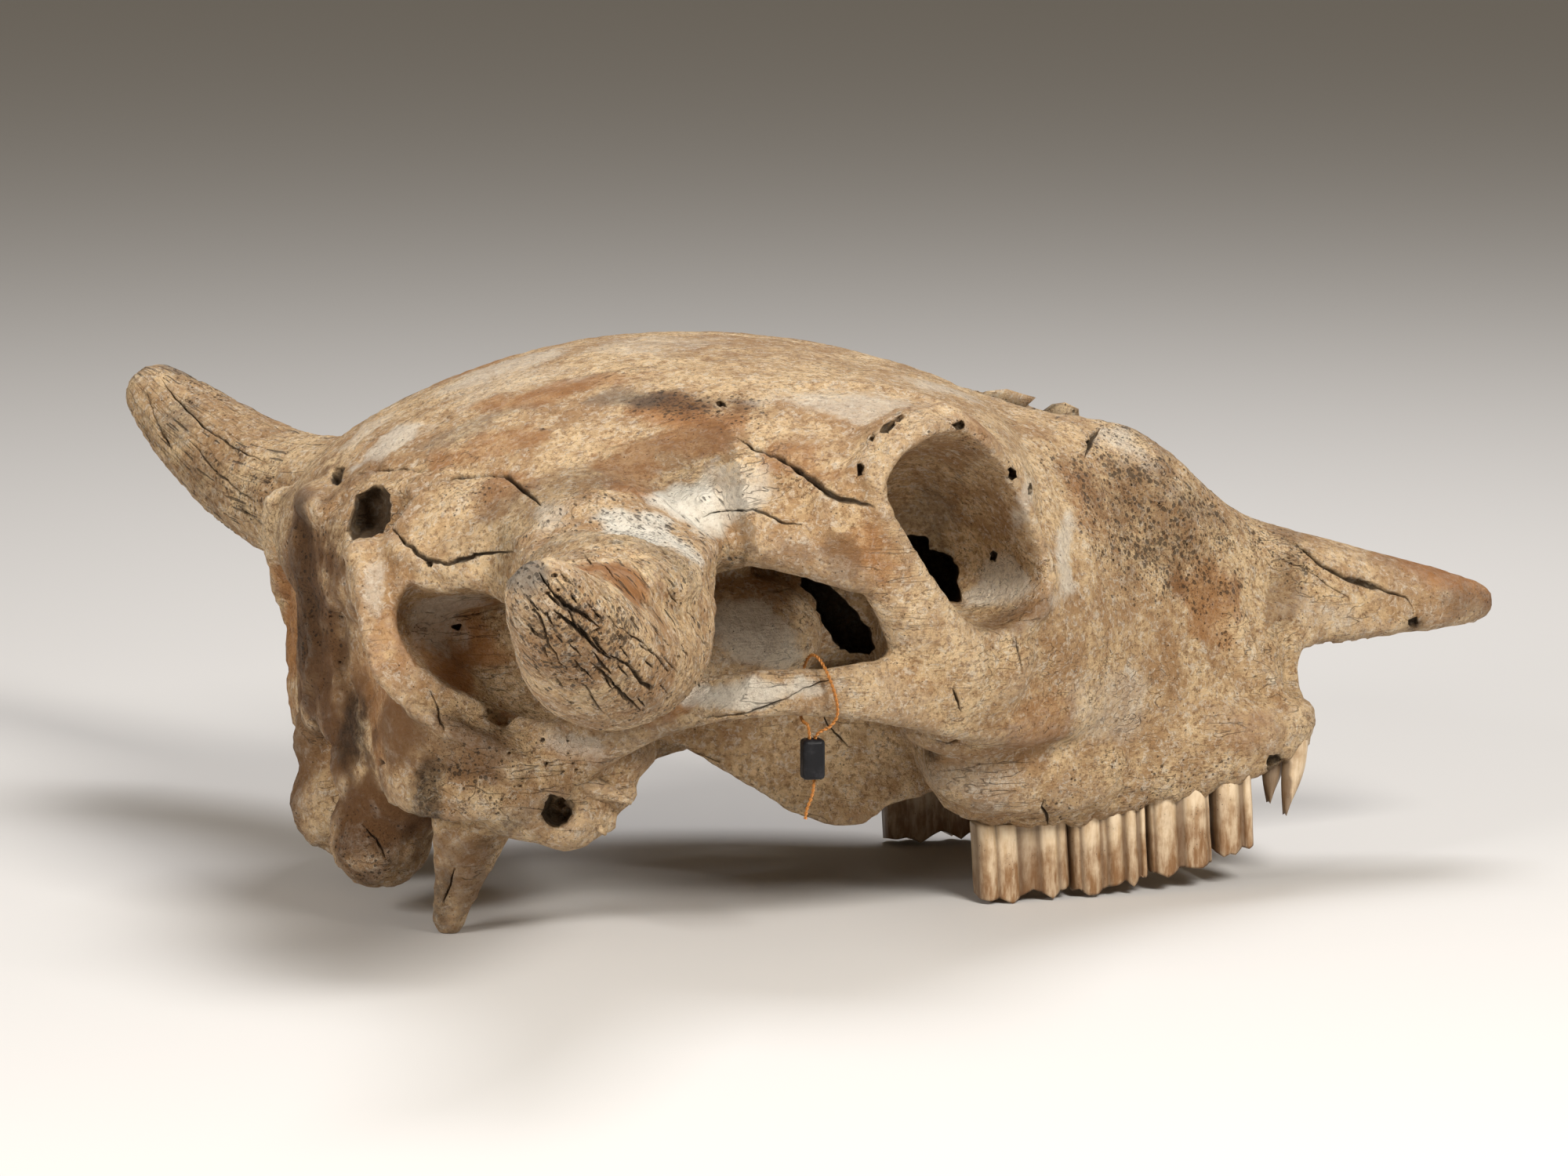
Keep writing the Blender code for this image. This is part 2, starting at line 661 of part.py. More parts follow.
def tooth_outline(rear, front, y_rear, y_front, columns, grow=0.0):
    """The outline of one crown seen from below: fluted outside, plain inside."""
    steps = columns * 4
    outer = []
    inner = []
    for step in range(steps + 1):
        share = step / steps
        x = rear + (front - rear) * share
        y = y_rear + (y_front - y_rear) * share
        flute = 0.9 * math.cos(share * columns * math.tau)
        rounding = 2.2 * max(0.0, abs(2 * share - 1) * 3 - 2) ** 2
        outer.append((x, y + TOOTH_DEPTH / 2 + flute - rounding))
        if step % 2 == 0:
            inner.append((x, y - TOOTH_DEPTH / 2 + rounding))
    outline = outer + inner[::-1]
    centre_x = (rear + front) / 2
    centre_y = (y_rear + y_front) / 2
    half = (front - rear) / 2
    scale_x = 1 + grow / half
    scale_y = 1 + grow / (TOOTH_DEPTH / 2 - 2.2)
    placed = []
    for x, y in outline:
        placed.append((centre_x + (x - centre_x) * scale_x, centre_y + (y - centre_y) * scale_y))
    return placed


def tooth(name, entry, side, grow=0.0):
    """One cheek tooth with its worn crown, or its socket when it is grown."""
    _, rear, front, y_rear, y_front, crown_rear, crown_front, *rest = entry
    gum_rear, gum_front, columns, wear = rest
    outline = tooth_outline(rear, front, y_rear, y_front, columns, grow)
    rings = []
    for level in (0, 1, 2):
        ring = []
        for x, y in outline:
            share = min(max((x - rear) / (front - rear), 0.0), 1.0)
            crown = crown_rear + (crown_front - crown_rear) * share
            gum = gum_rear + (gum_front - gum_rear) * share
            wave = wear * (1 - math.cos(share * columns * math.tau)) if not grow else 0.0
            lows = (crown + wave - SOCKET_REACH * (grow > 0), gum - 3, gum + ROOT_HEIGHT + grow)
            ring.append((x, side * y, lows[level]))
        rings.append(ring)
    return sweep(name, rings, 0)


def broken_tooth(name, entry, side, grow=0.0):
    """The broken front premolar: a leaning shell that ends in two prongs."""
    _, rear, front, y_rear, y_front, crown_rear, crown_front, gum_rear, gum_front = entry
    rings = []
    for level in range(4):
        share = level / 3
        narrow = 0.62 + 0.38 * min(1.0, share * 1.6)
        ring = []
        for step in range(14):
            turn = math.tau * step / 14
            x = (rear + front) / 2 + math.cos(turn) * ((front - rear) / 2 * narrow + grow)
            x -= BROKEN_LEAN * (1 - share) ** 2
            y = (y_rear + y_front) / 2 + math.sin(turn) * (BROKEN_HALF_DEPTH * narrow + grow)
            along = (math.cos(turn) + 1) / 2
            low = crown_rear + (crown_front - crown_rear) * along + 2.5 * math.sin(math.pi * along)
            high = gum_rear + (gum_front - gum_rear) * along + BROKEN_ROOT_HEIGHT
            if grow:
                low -= SOCKET_REACH
                high += grow
            ring.append((x, side * y, low + (high - low) * share))
        rings.append(ring)
    return sweep(name, rings, 0)


def tooth_rows():
    """Names, entries, sides and makers of all teeth."""
    rows = []
    for side, word in ((RIGHT, "right"), (LEFT, "left")):
        entries = TEETH + (FRONT_TEETH_LEFT if side == LEFT else [])
        for entry in entries:
            rows.append((f"{entry[0]}_{word}", entry, side, tooth))
    rows.append(("premolar_3_right", BROKEN_TOOTH, RIGHT, broken_tooth))
    return rows


def skull(material):
    """The bone itself, with a socket for each tooth."""
    bone = gathered("skull", bone_masses(), CLAY_VOXEL)
    relax(bone, 0.5, 4)
    cutter = gathered("hollows", hollows(), CLAY_VOXEL)
    cutter.hide_render = True
    cutter.display_type = "WIRE"
    cut(bone, cutter)
    bake(bone)
    rims = gathered("rims", thin_masses(), BONE_VOXEL * 0.8)
    bake(rims)
    bm = bmesh.new()
    bm.from_mesh(bone.data)
    bm.from_mesh(rims.data)
    bm.to_mesh(bone.data)
    bm.free()
    bpy.data.objects.remove(rims, do_unlink=True)
    bpy.data.objects.remove(cutter, do_unlink=True)
    fuse(bone, BONE_VOXEL)
    relax(bone, 0.5, 3)
    bake(bone)
    keep_largest(bone)
    thin_out(bone, BONE_TRIANGLES)
    for name, entry, side, maker in tooth_rows():
        gap = BROKEN_SOCKET_GAP if maker is broken_tooth else SOCKET_GAP
        socket = maker(f"socket {name}", entry, side, gap)
        cut(bone, socket)
        bake(bone)
        bpy.data.objects.remove(socket, do_unlink=True)
    keep_largest(bone)
    bone.data.materials.clear()
    bone.data.materials.append(material)
    return bone


def teeth(material):
    """All the cheek teeth."""
    for name, entry, side, maker in tooth_rows():
        crown = maker(name, entry, side)
        crown.data.materials.append(material)


def smooth_route(spots, spacing):
    """Points at an even spacing on a smooth curve through the route's own points."""
    dense = []
    guides = [Vector(spot) for spot in spots]
    guides = [guides[0] * 2 - guides[1]] + guides + [guides[-1] * 2 - guides[-2]]
    for place in range(1, len(guides) - 2):
        before, start, end, after = guides[place - 1:place + 3]
        for step in range(12):
            t = step / 12
            dense.append(0.5 * (
                start * 2 + (end - before) * t
                + (before * 2 - start * 5 + end * 4 - after) * t ** 2
                + (start * 3 - before - end * 3 + after) * t ** 3
            ))
    dense.append(guides[-2])
    length = sum((b - a).length for a, b in zip(dense, dense[1:]))
    count = max(2, round(length / spacing))
    even = [dense[0]]
    walked = 0.0
    for a, b in zip(dense, dense[1:]):
        step = (b - a).length
        while len(even) < count and walked + step >= length * len(even) / count:
            share = (length * len(even) / count - walked) / step
            even.append(a + (b - a) * share)
        walked += step
    even.append(dense[-1])
    return even


def seal_thread(material):
    """The thread as one plain tube."""
    curve = bpy.data.curves.new("seal_thread", "CURVE")
    curve.dimensions = "3D"
    curve.bevel_depth = THREAD_DIAMETER / 2 * MM
    curve.bevel_resolution = 2
    curve.use_fill_caps = True
    route = smooth_route(THREAD_ROUTE, THREAD_SPACING)
    spline = curve.splines.new("POLY")
    spline.points.add(len(route) - 1)
    for point, spot in zip(spline.points, route):
        point.co = (*(spot * MM), 1.0)
    thing = bpy.data.objects.new("seal_thread", curve)
    bpy.context.scene.collection.objects.link(thing)
    curve.materials.append(material)
    return thing


def seal_bead(material):
    """The pressed seal bead, with chamfered edges and a slot for the thread."""
    half = [size / 2 for size in BEAD_SIZE]
    x, y, z = BEAD_CENTRE
    ranges = [(middle - reach, middle + reach) for middle, reach in zip(BEAD_CENTRE, half)]
    bead = block("seal_bead", *ranges)
    bm = bmesh.new()
    bm.from_mesh(bead.data)
    bmesh.ops.bevel(
        bm, geom=list(bm.edges), offset=1.6 * MM, segments=2, profile=0.5,
        affect="EDGES", material=-1,
    )
    bm.to_mesh(bead.data)
    bm.free()
    slot = block(
        "slot",
        (x - BEAD_BORE[0] / 2, x + BEAD_BORE[0] / 2),
        (y - BEAD_BORE[1] / 2, y + BEAD_BORE[1] / 2),
        (z - half[2] - 1, z + half[2] + 1),
    )
    cut(bead, slot)
    bake(bead)
    bpy.data.objects.remove(slot, do_unlink=True)
    bead.data.materials.append(material)
    return bead


def settle_frame():
    """Stand the skull on the ground plane with its box centred on the origin."""
    bpy.context.view_layer.update()
    corners = []
    for thing in bpy.data.objects:
        if thing.name in ("seal_thread", "seal_bead"):
            continue
        corners.extend(thing.matrix_world @ Vector(vert.co) for vert in thing.data.vertices)
    low = Vector(min(corner[axis] for corner in corners) for axis in range(3))
    high = Vector(max(corner[axis] for corner in corners) for axis in range(3))
    shift = Vector((-(low.x + high.x) / 2, -(low.y + high.y) / 2, -low.z))
    for thing in bpy.data.objects:
        thing.location = thing.location + shift
    print("skull box, mm:", [round(value / MM, 1) for value in (*low, *high)])
    print("shift, mm:", [round(value / MM, 3) for value in shift])


def main():
    """Build every piece."""
    clear_scene()
    bone = bone_material("weathered bone", (0.62, 0.50, 0.36), 0.85)
    ivory = bone_material("tooth enamel", (0.74, 0.62, 0.45), 0.5)
    copper = bone_material("copper thread", (0.72, 0.30, 0.09), 0.45)
    black = bone_material("black seal", (0.02, 0.022, 0.03), 0.35)
    skull(bone)
    teeth(ivory)
    seal_thread(copper)
    seal_bead(black)
    settle_frame()


main()
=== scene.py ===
# %% [markdown]
# # A weathered bison skull, step by step
# This lesson dresses a plain solid model of an old bison skull. The real thing is one
# big piece of bone: a domed roof, two horn cores, two eye sockets, a cheek arch on each
# side and a long face that has lost its front end. Teeth sit in sockets of their own,
# and a thread with a small black seal hangs on the near cheek arch.
#
# We start by loading the solid model as a fixed frame. Every piece that we make sits
# where that frame says.

# %% Load the frame
import math
from functools import partial

import bmesh
import bpy
import numpy as np
from mathutils import Matrix, Vector, noise
from mathutils.bvhtree import BVHTree
from mathutils.kdtree import KDTree


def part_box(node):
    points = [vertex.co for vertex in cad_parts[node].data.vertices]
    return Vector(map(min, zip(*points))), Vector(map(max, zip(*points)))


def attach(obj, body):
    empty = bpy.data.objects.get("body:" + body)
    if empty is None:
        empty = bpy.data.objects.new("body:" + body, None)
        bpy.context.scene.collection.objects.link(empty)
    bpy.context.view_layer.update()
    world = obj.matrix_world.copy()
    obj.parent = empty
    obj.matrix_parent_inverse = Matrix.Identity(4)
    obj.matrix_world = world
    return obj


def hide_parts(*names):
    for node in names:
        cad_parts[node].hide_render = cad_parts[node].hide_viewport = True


MM = 0.001
RIGHT = -1
LEFT = 1

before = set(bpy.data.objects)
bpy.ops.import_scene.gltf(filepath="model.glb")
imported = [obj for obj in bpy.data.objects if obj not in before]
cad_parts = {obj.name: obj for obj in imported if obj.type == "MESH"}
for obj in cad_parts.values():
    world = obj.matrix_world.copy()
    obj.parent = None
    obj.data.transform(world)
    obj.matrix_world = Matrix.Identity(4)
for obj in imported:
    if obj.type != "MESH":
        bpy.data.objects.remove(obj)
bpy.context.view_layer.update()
print("solid nodes:", len(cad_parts))

# %% [markdown]
# The places below are written in millimetres in a survey frame: X runs forward to the
# muzzle, Y to the animal's left, Z up from the ground. The frame of the solids is the
# same one moved a little, and the seal bead, whose middle we know in both, gives the
# step between them.

# %% From survey millimetres to the frame
BEAD_CENTRE = (-27.5, -141.0, 69.2)
bead_low, bead_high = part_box("seal_bead")
SHIFT = (Vector(bead_low) + Vector(bead_high)) / 2 - Vector(BEAD_CENTRE) * MM


def to_frame(spot):
    """A survey point in millimetres as a point of the frame in metres."""
    return Vector(spot) * MM + SHIFT


print("shift, mm:", [round(value / MM, 2) for value in SHIFT])

# %% [markdown]
# The camera comes early, because the marks on the bone are placed through it. The
# picture was taken from the skull's right, fifteen degrees towards its back and a
# little above it, with a long lens, so lines that run away from us hardly shrink.

# %% Camera
AZIMUTH = math.radians(15.0)
ELEVATION = math.radians(8.5)
LENS = 200.0
SENSOR = 36.0
PICTURE = (2000, 1500)
PIXELS_PER_MM = 3.5
focal_pixels = LENS / SENSOR * PICTURE[0]

look = Vector((
    math.sin(AZIMUTH) * math.cos(ELEVATION),
    math.cos(AZIMUTH) * math.cos(ELEVATION),
    -math.sin(ELEVATION),
))
aim = to_frame((0.0, 0.0, 108.0))
camera_data = bpy.data.cameras.new("camera")
camera_data.lens = LENS
camera_data.sensor_width = SENSOR
camera_data.clip_end = 20.0
camera = bpy.data.objects.new("camera", camera_data)
camera.location = aim - look * (focal_pixels / PIXELS_PER_MM * MM)
camera.rotation_mode = "QUATERNION"
camera.rotation_quaternion = look.to_track_quat("-Z", "Y")
bpy.context.scene.collection.objects.link(camera)
bpy.context.scene.camera = camera
picture_right = look.cross(Vector((0, 0, 1))).normalized()
picture_up = picture_right.cross(look).normalized()


def sight(px, py):
    """The direction from the camera through a point of the picture."""
    across = picture_right * (px - PICTURE[0] / 2)
    up = picture_up * (PICTURE[1] / 2 - py)
    return (look * focal_pixels + across + up).normalized()


print("camera distance, m:", round((camera.location - aim).length, 3))

# %% [markdown]
# ## Clay for the bone
# A skull is a body of soft curves that run into each other, which makes it hard to
# build face by face. A sculptor would press lumps of clay together and scoop the hollows
# out. We do the same: rows of half sections give the roof, the face and the nose,
# tapered limbs give the horn cores and the bars, and a fine remesh melts them into one
# skin. The helpers in the next cells make such lumps with bmesh operators.

# %% Helpers for lumps of clay
def put(name, bm):
    """Turn a bmesh into an object of that name."""
    mesh = bpy.data.meshes.new(name)
    bm.to_mesh(mesh)
    bm.free()
    thing = bpy.data.objects.new(name, mesh)
    bpy.context.scene.collection.objects.link(thing)
    return thing


def shade_smooth(thing):
    """Shade a finished piece as one rounded skin."""
    for face in thing.data.polygons:
        face.use_smooth = True


def soften(thing, levels=2):
    """Round a coarse body off with a subdivision surface."""
    if levels:
        rounded = thing.modifiers.new("Rounding", "SUBSURF")
        rounded.levels = levels
        rounded.render_levels = levels
    return thing


def sweep(name, rings, levels=2):
    """A closed body that is extruded through rings with the same number of points."""
    bm = bmesh.new()
    base = bm.faces.new([bm.verts.new(to_frame(spot)) for spot in rings[0]])
    face = base
    for ring in rings[1:]:
        grown = bmesh.ops.extrude_face_region(bm, geom=[face])["geom"]
        if face is not base:
            bmesh.ops.delete(bm, geom=[face], context="FACES_ONLY")
        face = next(part for part in grown if isinstance(part, bmesh.types.BMFace))
        for vert, spot in zip(face.verts, ring):
            vert.co = to_frame(spot)
    bmesh.ops.recalc_face_normals(bm, faces=bm.faces)
    return soften(put(name, bm), levels)


def half_sections(name, sections, levels=2):
    """A body from half sections, each mirrored across the midline."""
    rings = []
    for station, *half in sections:
        right = [(station, -y, z) for y, z in half]
        left = [(station, y, z) for y, z in reversed(half) if y > 0]
        rings.append(right + left)
    return sweep(name, rings, levels)


def limb(name, stations, side=RIGHT, up=(0, 0, 1), count=12, levels=1):
    """A tapered body with oval sections: X, Y, Z, half across and half high."""
    centres = [Vector((x, side * y, z)) for x, y, z, *_ in stations]
    rings = []
    for place, (centre, station) in enumerate(zip(centres, stations)):
        before = centres[max(place - 1, 0)]
        after = centres[min(place + 1, len(centres) - 1)]
        along = (after - before).normalized()
        across = along.cross(Vector(up)).normalized()
        high = across.cross(along)
        ring = []
        for step in range(count):
            turn = math.tau * step / count
            offset = across * (station[3] * math.cos(turn)) + high * (station[4] * math.sin(turn))
            ring.append(centre + offset)
        rings.append(ring)
    return sweep(name, rings, levels)


def blob(name, centre, radii, side=RIGHT):
    """An egg shaped lump."""
    bm = bmesh.new()
    middle = to_frame((centre[0], side * centre[1], centre[2]))
    place = Matrix.LocRotScale(middle, None, Vector(radii) * MM)
    bmesh.ops.create_icosphere(bm, subdivisions=3, radius=1.0, matrix=place)
    return put(name, bm)


def tube(name, spots, radius, side=RIGHT, closed=False):
    """A round bar through the spots, as a bevelled curve."""
    curve = bpy.data.curves.new(name, "CURVE")
    curve.dimensions = "3D"
    curve.bevel_depth = radius * MM
    curve.bevel_resolution = 2
    curve.use_fill_caps = not closed
    spline = curve.splines.new("POLY")
    spline.points.add(len(spots) - 1)
    spline.use_cyclic_u = closed
    for point, (x, y, z) in zip(spline.points, spots):
        point.co = (*to_frame((x, side * y, z)), 1.0)
    thing = bpy.data.objects.new(name, curve)
    bpy.context.scene.collection.objects.link(thing)
    return thing

# %% [markdown]
# ## The lumps
# Now the tables. Each one holds the sizes of one region, from the back of the skull to
# its front, as they were read off the picture, with the usual build of such skulls in
# mind.

# %% The roof, the face and the nose
# The frontal and parietal roof, rear to front: each row is X and then the right half
# of the section as (Y, Z), from the top of the midline round to its underside
ROOF = [
    (-180, (0, 146), (30, 143), (58, 130), (70, 120), (60, 110), (30, 106), (0, 106)),
    (-164, (0, 163), (45, 159), (84, 143), (97, 131), (88, 117), (42, 108), (0, 106)),
    (-138, (0, 180.5), (58, 174), (104, 153), (116, 138), (102, 122), (46, 110), (0, 107)),
    (-103, (0, 194), (64, 187), (113, 166), (124, 147), (108, 128), (50, 114), (0, 110)),
    (-66, (0, 201), (68, 195), (114, 176), (130, 152), (120, 130), (56, 118), (0, 114)),
    (-34, (0, 201.5), (70, 197), (120, 181), (144, 158), (134, 138), (58, 124), (0, 118)),
    (-4, (0, 199), (70, 196), (124, 186), (160, 168), (146, 147), (60, 130), (0, 120)),
    (26, (0, 195), (64, 191), (112, 187), (157, 178), (136, 160), (56, 134), (0, 120)),
    (54, (0, 187), (54, 184), (94, 179), (134, 163), (118, 144), (48, 126), (0, 112)),
    (78, (0, 177), (36, 174), (64, 166), (92, 146), (78, 128), (36, 112), (0, 104)),
]

# The face from the orbits to the front of the cheek bones
FACE = [
    (22, (0, 186), (48, 182), (84, 166), (108, 142), (114, 112), (110, 90), (92, 64), (60, 54), (0, 62)),
    (46, (0, 185), (46, 181), (80, 168), (108, 142), (116, 114), (109, 86), (90, 58), (60, 48), (0, 60)),
    (64, (0, 181), (41, 177), (76, 166), (108, 142), (115, 113), (107, 84), (88, 55), (58, 45), (0, 56)),
    (80, (0, 177), (38, 174), (66, 163), (94, 138), (105, 110), (100, 82), (83, 54), (56, 43), (0, 54)),
    (106, (0, 173), (33, 172), (49, 160), (66, 130), (79, 101), (79, 77), (70, 52), (52, 42), (0, 52)),
    (132, (0, 166), (30, 167), (42, 158), (54, 122), (63, 92), (66, 72), (62, 50), (48, 42), (0, 50)),
    (156, (0, 141), (24, 141), (33, 132), (42, 106), (50, 86), (56, 68), (54, 50), (42, 43), (0, 48)),
    (172, (0, 131), (17, 129), (28, 118), (36, 102), (45, 86), (50, 70), (47, 56), (36, 48), (0, 50)),
    (182, (0, 127), (14, 125), (24, 116), (32, 101), (40, 86), (45, 71), (42, 58), (34, 52), (0, 54)),
]

# The nasal bones with the maxillary process beside them
NASAL = [
    (120, (0, 164), (18, 161), (28, 150), (32, 128), (30, 104), (0, 100)),
    (160, (0, 135), (18, 132), (30, 120), (36, 102), (33, 84), (0, 82)),
    (184, (0, 126), (16, 124), (27, 114), (33, 99), (31, 79), (0, 78)),
    (206, (0, 119.5), (14, 118), (25, 109), (29, 96), (27, 80), (0, 79)),
    (232, (0, 112), (13, 110.5), (21, 102), (24, 93), (21, 83), (0, 82)),
    (256, (0, 104.5), (10, 103.5), (15, 98), (16, 91), (13, 84.5), (0, 84.5)),
    (274, (0, 99), (6, 98.4), (9.5, 95), (9, 90), (6, 86.5), (0, 86.5)),
]

# The tooth bearing border of each maxilla: X, inner Y, outer Y, gum Z, top Z
GUM = [
    (30, 54, 72, 52, 82),
    (42, 51, 76, 38, 84),
    (54, 49, 76, 27, 86),
    (87, 45, 72, 26, 82),
    (119, 41, 67, 31, 78),
    (147, 37, 62, 35.5, 74),
    (166, 34, 57, 38, 70),
    (182, 31, 51, 46, 68),
    (191, 30, 46, 51, 68),
]

# %% The back, the brain case and the hollow side walls
# The back of the skull, from the midline out: Y, rear X, front X, low Z, high Z
OCCIPUT = [
    (0, -176, -140, 62, 147),
    (18, -179, -138, 56, 146),
    (40, -172, -134, 50, 141),
    (60, -166, -134, 48, 133),
    (76, -169, -146, 46, 124),
    (92, -168, -146, 45, 106),
    (105, -154, -130, 44, 84),
    (113, -138, -110, 46, 70),
]

# The hollow side wall behind the horns: each row is X and then the right half of the
# section as (Y, Z) from the midline round to its underside
REAR_WALL = [
    (-154, (0, 130), (54, 130), (70, 118), (80, 104), (90, 88), (101, 72), (106, 58), (88, 46), (0, 50)),
    (-140, (0, 132), (52, 132), (62, 118), (69, 104), (80, 88), (95, 72), (106, 58), (90, 46), (0, 50)),
    (-122, (0, 132), (52, 132), (59, 118), (62, 104), (70, 88), (90, 72), (106, 60), (92, 46), (0, 50)),
    (-100, (0, 132), (54, 132), (60, 118), (61, 104), (66, 88), (84, 73), (100, 62), (88, 50), (0, 52)),
    (-80, (0, 132), (54, 132), (60, 118), (61, 104), (64, 90), (76, 76), (90, 66), (80, 56), (0, 56)),
    (-62, (0, 130), (50, 130), (58, 118), (60, 104), (60, 90), (58, 76), (52, 66), (40, 60), (0, 60)),
]

# The crest between the back of the skull and the hollow side wall: X, Y, Z, thickness
NECK_CREST = [
    (-173, 62, 141, 9, 8), (-171, 75, 129, 8, 8), (-168, 87, 112, 8, 8), (-162, 94, 95, 9, 8),
    (-151, 101, 80, 10, 9), (-134, 105, 68, 12, 10), (-113, 104, 58, 13, 12),
]

# The brain case and the base of the skull in front of it: X, half width, low Z, high Z
BRAIN_CASE = [
    (-164, 40, 58, 122),
    (-146, 52, 52, 128),
    (-112, 60, 50, 132),
    (-72, 62, 52, 134),
    (-36, 60, 60, 134),
    (-18, 50, 66, 134),
    (2, 36, 72, 136),
    (34, 34, 74, 140),
    (60, 36, 70, 140),
]

# %% Horn cores, arches, orbits and the thin wings
# The horn cores: X, Y away from the midline, Z, thickness half across and half high
HORN_RIGHT = [
    (-94, 58, 149, 50, 28),
    (-94, 88, 142, 46, 32),
    (-95, 112, 134, 40, 35),
    (-97, 136, 126.5, 36, 36),
    (-102, 165, 118.5, 34, 32.5),
    (-115, 200, 118.5, 30, 27),
    (-127, 228, 122.5, 27, 24),
    (-136, 250, 130, 24.5, 22),
    (-148, 272, 141.5, 20.5, 18.5),
    (-158, 287, 153, 15.5, 14),
    (-165, 295, 161, 10.5, 9.5),
]
HORN_SWING = (-17.0, -5.0)
# The near core is flatter on top, so its skin runs on from the roof to the tip
NEAR_HORN_TOP = [
    (-86, 84, 149, 42, 12), (-92, 120, 145, 40, 12), (-103, 160, 142, 34, 13),
    (-118, 200, 141, 28, 13), (-134, 235, 143, 23, 12), (-150, 266, 148, 16, 9),
]

# The right cheek arch from its root under the horn to the cheek bone
ARCH = [
    (-124, 100, 62, 13, 15),
    (-104, 110, 72, 9, 13),
    (-84, 120, 84, 6.5, 10),
    (-60, 130, 90.5, 5.5, 9.5),
    (-36, 135, 92.5, 5.2, 9.2),
    (-14, 134, 91, 6, 10),
    (8, 127, 90, 8, 14),
    (30, 116, 86, 11, 17),
    (52, 102, 80, 12, 18),
    (74, 90, 78, 10, 18),
    (98, 76, 76, 7, 15),
]

# The edge of the roof over the temporal opening, which curves down into the bar
TEMPLE_EDGE = [
    (-74, 118, 152, 12, 15), (-58, 124, 150, 11, 13), (-40, 130, 148, 10, 13),
    (-24, 136, 145, 9, 15), (-9, 140, 140, 7.5, 15), (0, 140, 132, 5, 10),
]

# The bar behind the orbit: X, Y, Z, half thickness and half width
ORBIT_BAR = [
    (-12, 140, 172, 8, 26),
    (-8, 144, 154, 6, 19),
    (0, 141, 138, 5.5, 15),
    (10, 134, 120, 6, 13),
    (22, 125, 100, 9, 17),
    (36, 114, 86, 12, 20),
]

# The inner edge of the orbit's rim, all the way round: X, Y, Z; then how the socket
# narrows inside it: size and way in
ORBIT_RIM = [
    (-6, 150, 168), (2, 149.5, 177), (14, 147, 183), (24, 142, 183), (34, 136, 177.5),
    (42, 130, 170), (48, 125, 162), (55, 120, 149), (61, 116, 136), (65, 114, 126),
    (62, 115, 116), (53, 118, 110), (42, 123, 108), (33, 127, 112), (26, 131, 119),
    (16, 138, 132), (7, 144, 145), (-2, 149, 157),
]
SOCKET_STEPS = [(1.3, -30), (1.06, -6), (0.985, 0), (0.95, 8), (0.87, 22), (0.72, 38), (0.5, 52), (0.2, 60)]
SOCKET_AXIS = (-0.22, -1.0, -0.1)
LEFT_RIM_DROP = 8.0

# The thin wing under the brain case: outline (X, Z) of one plate and its slant in Y
WING = [
    (-74, 72), (-66, 62), (-46, 56), (-28, 45), (-8, 32), (8, 26), (18, 26), (30, 34),
    (46, 38), (58, 44), (60, 66), (20, 80), (-40, 80),
]
WING_REAR_Y = 24.0
WING_FRONT_Y = 46.0
WING_THICKNESS = 5.5

# %% [markdown]
# Some parts are a few lines each. The border that carries the teeth is a swept box, the
# back of the skull is a band that bends forward at both ears, and the wing plate is a
# thin slab.

# %% Makers for the single parts
TIP_SPAN = 596.0


def maxilla_border(side):
    """The border of bone that holds one row of cheek teeth."""
    rings = []
    inset = 3.0
    for x, inner, outer, gum, top in GUM:
        rings.append([
            (x, side * inner, gum + inset), (x, side * (inner + inset), gum),
            (x, side * (outer - inset), gum), (x, side * outer, gum + inset),
            (x, side * (outer + 7), top), (x, side * inner, top),
        ])
    return sweep("maxilla border", rings, 1)


def occiput_plate():
    """The flat back of the skull, as a band that bends forward at both ears."""
    rings = []
    for side in (RIGHT, LEFT):
        rows = OCCIPUT[::-1] if side == RIGHT else OCCIPUT[1:]
        for y, rear, front, low, high in rows:
            middle = (low + high) / 2
            rings.append([
                (rear + 4, side * y, low), (rear, side * y, low + 8), (rear + 1, side * y, middle),
                (rear, side * y, high - 8), (rear + 4, side * y, high), (front, side * y, high),
                (front, side * y, middle), (front, side * y, low),
            ])
    return sweep("occiput", rings, 1)


def brain_case():
    """The rounded case and the narrower base in front of it."""
    rings = []
    for x, half, low, high in BRAIN_CASE:
        middle = (low + high) / 2
        turns = [math.tau * step / 12 for step in range(12)]
        rings.append([
            (x, half * math.cos(turn), middle + (high - low) / 2 * math.sin(turn)) for turn in turns
        ])
    return sweep("brain case", rings, 1)


def wing_plate(side):
    """The thin pterygoid and palatine plate that hangs under the skull."""
    low_x = WING[0][0]
    high_x = max(x for x, _ in WING)
    rings = []
    for offset in (-WING_THICKNESS / 2, WING_THICKNESS / 2):
        ring = []
        for x, z in WING:
            share = (x - low_x) / (high_x - low_x)
            y = WING_REAR_Y + (WING_FRONT_Y - WING_REAR_Y) * share + offset
            ring.append((x, side * y, z))
        rings.append(ring)
    return sweep("wing plate", rings, 0)


def horn_stations(side):
    """The stations of one horn core; the left one swings further back and down."""
    stations = []
    reach = TIP_SPAN / 2 - HORN_RIGHT[-1][1]
    for x, y, z, across, high in HORN_RIGHT:
        share = (y - HORN_RIGHT[0][1]) / (HORN_RIGHT[-1][1] - HORN_RIGHT[0][1])
        back = HORN_SWING[0] * share ** 0.6 if side == LEFT else 0.0
        down = HORN_SWING[1] * share if side == LEFT else 0.0
        stations.append((x + back, y + reach * share, z + down, across, high))
    return stations


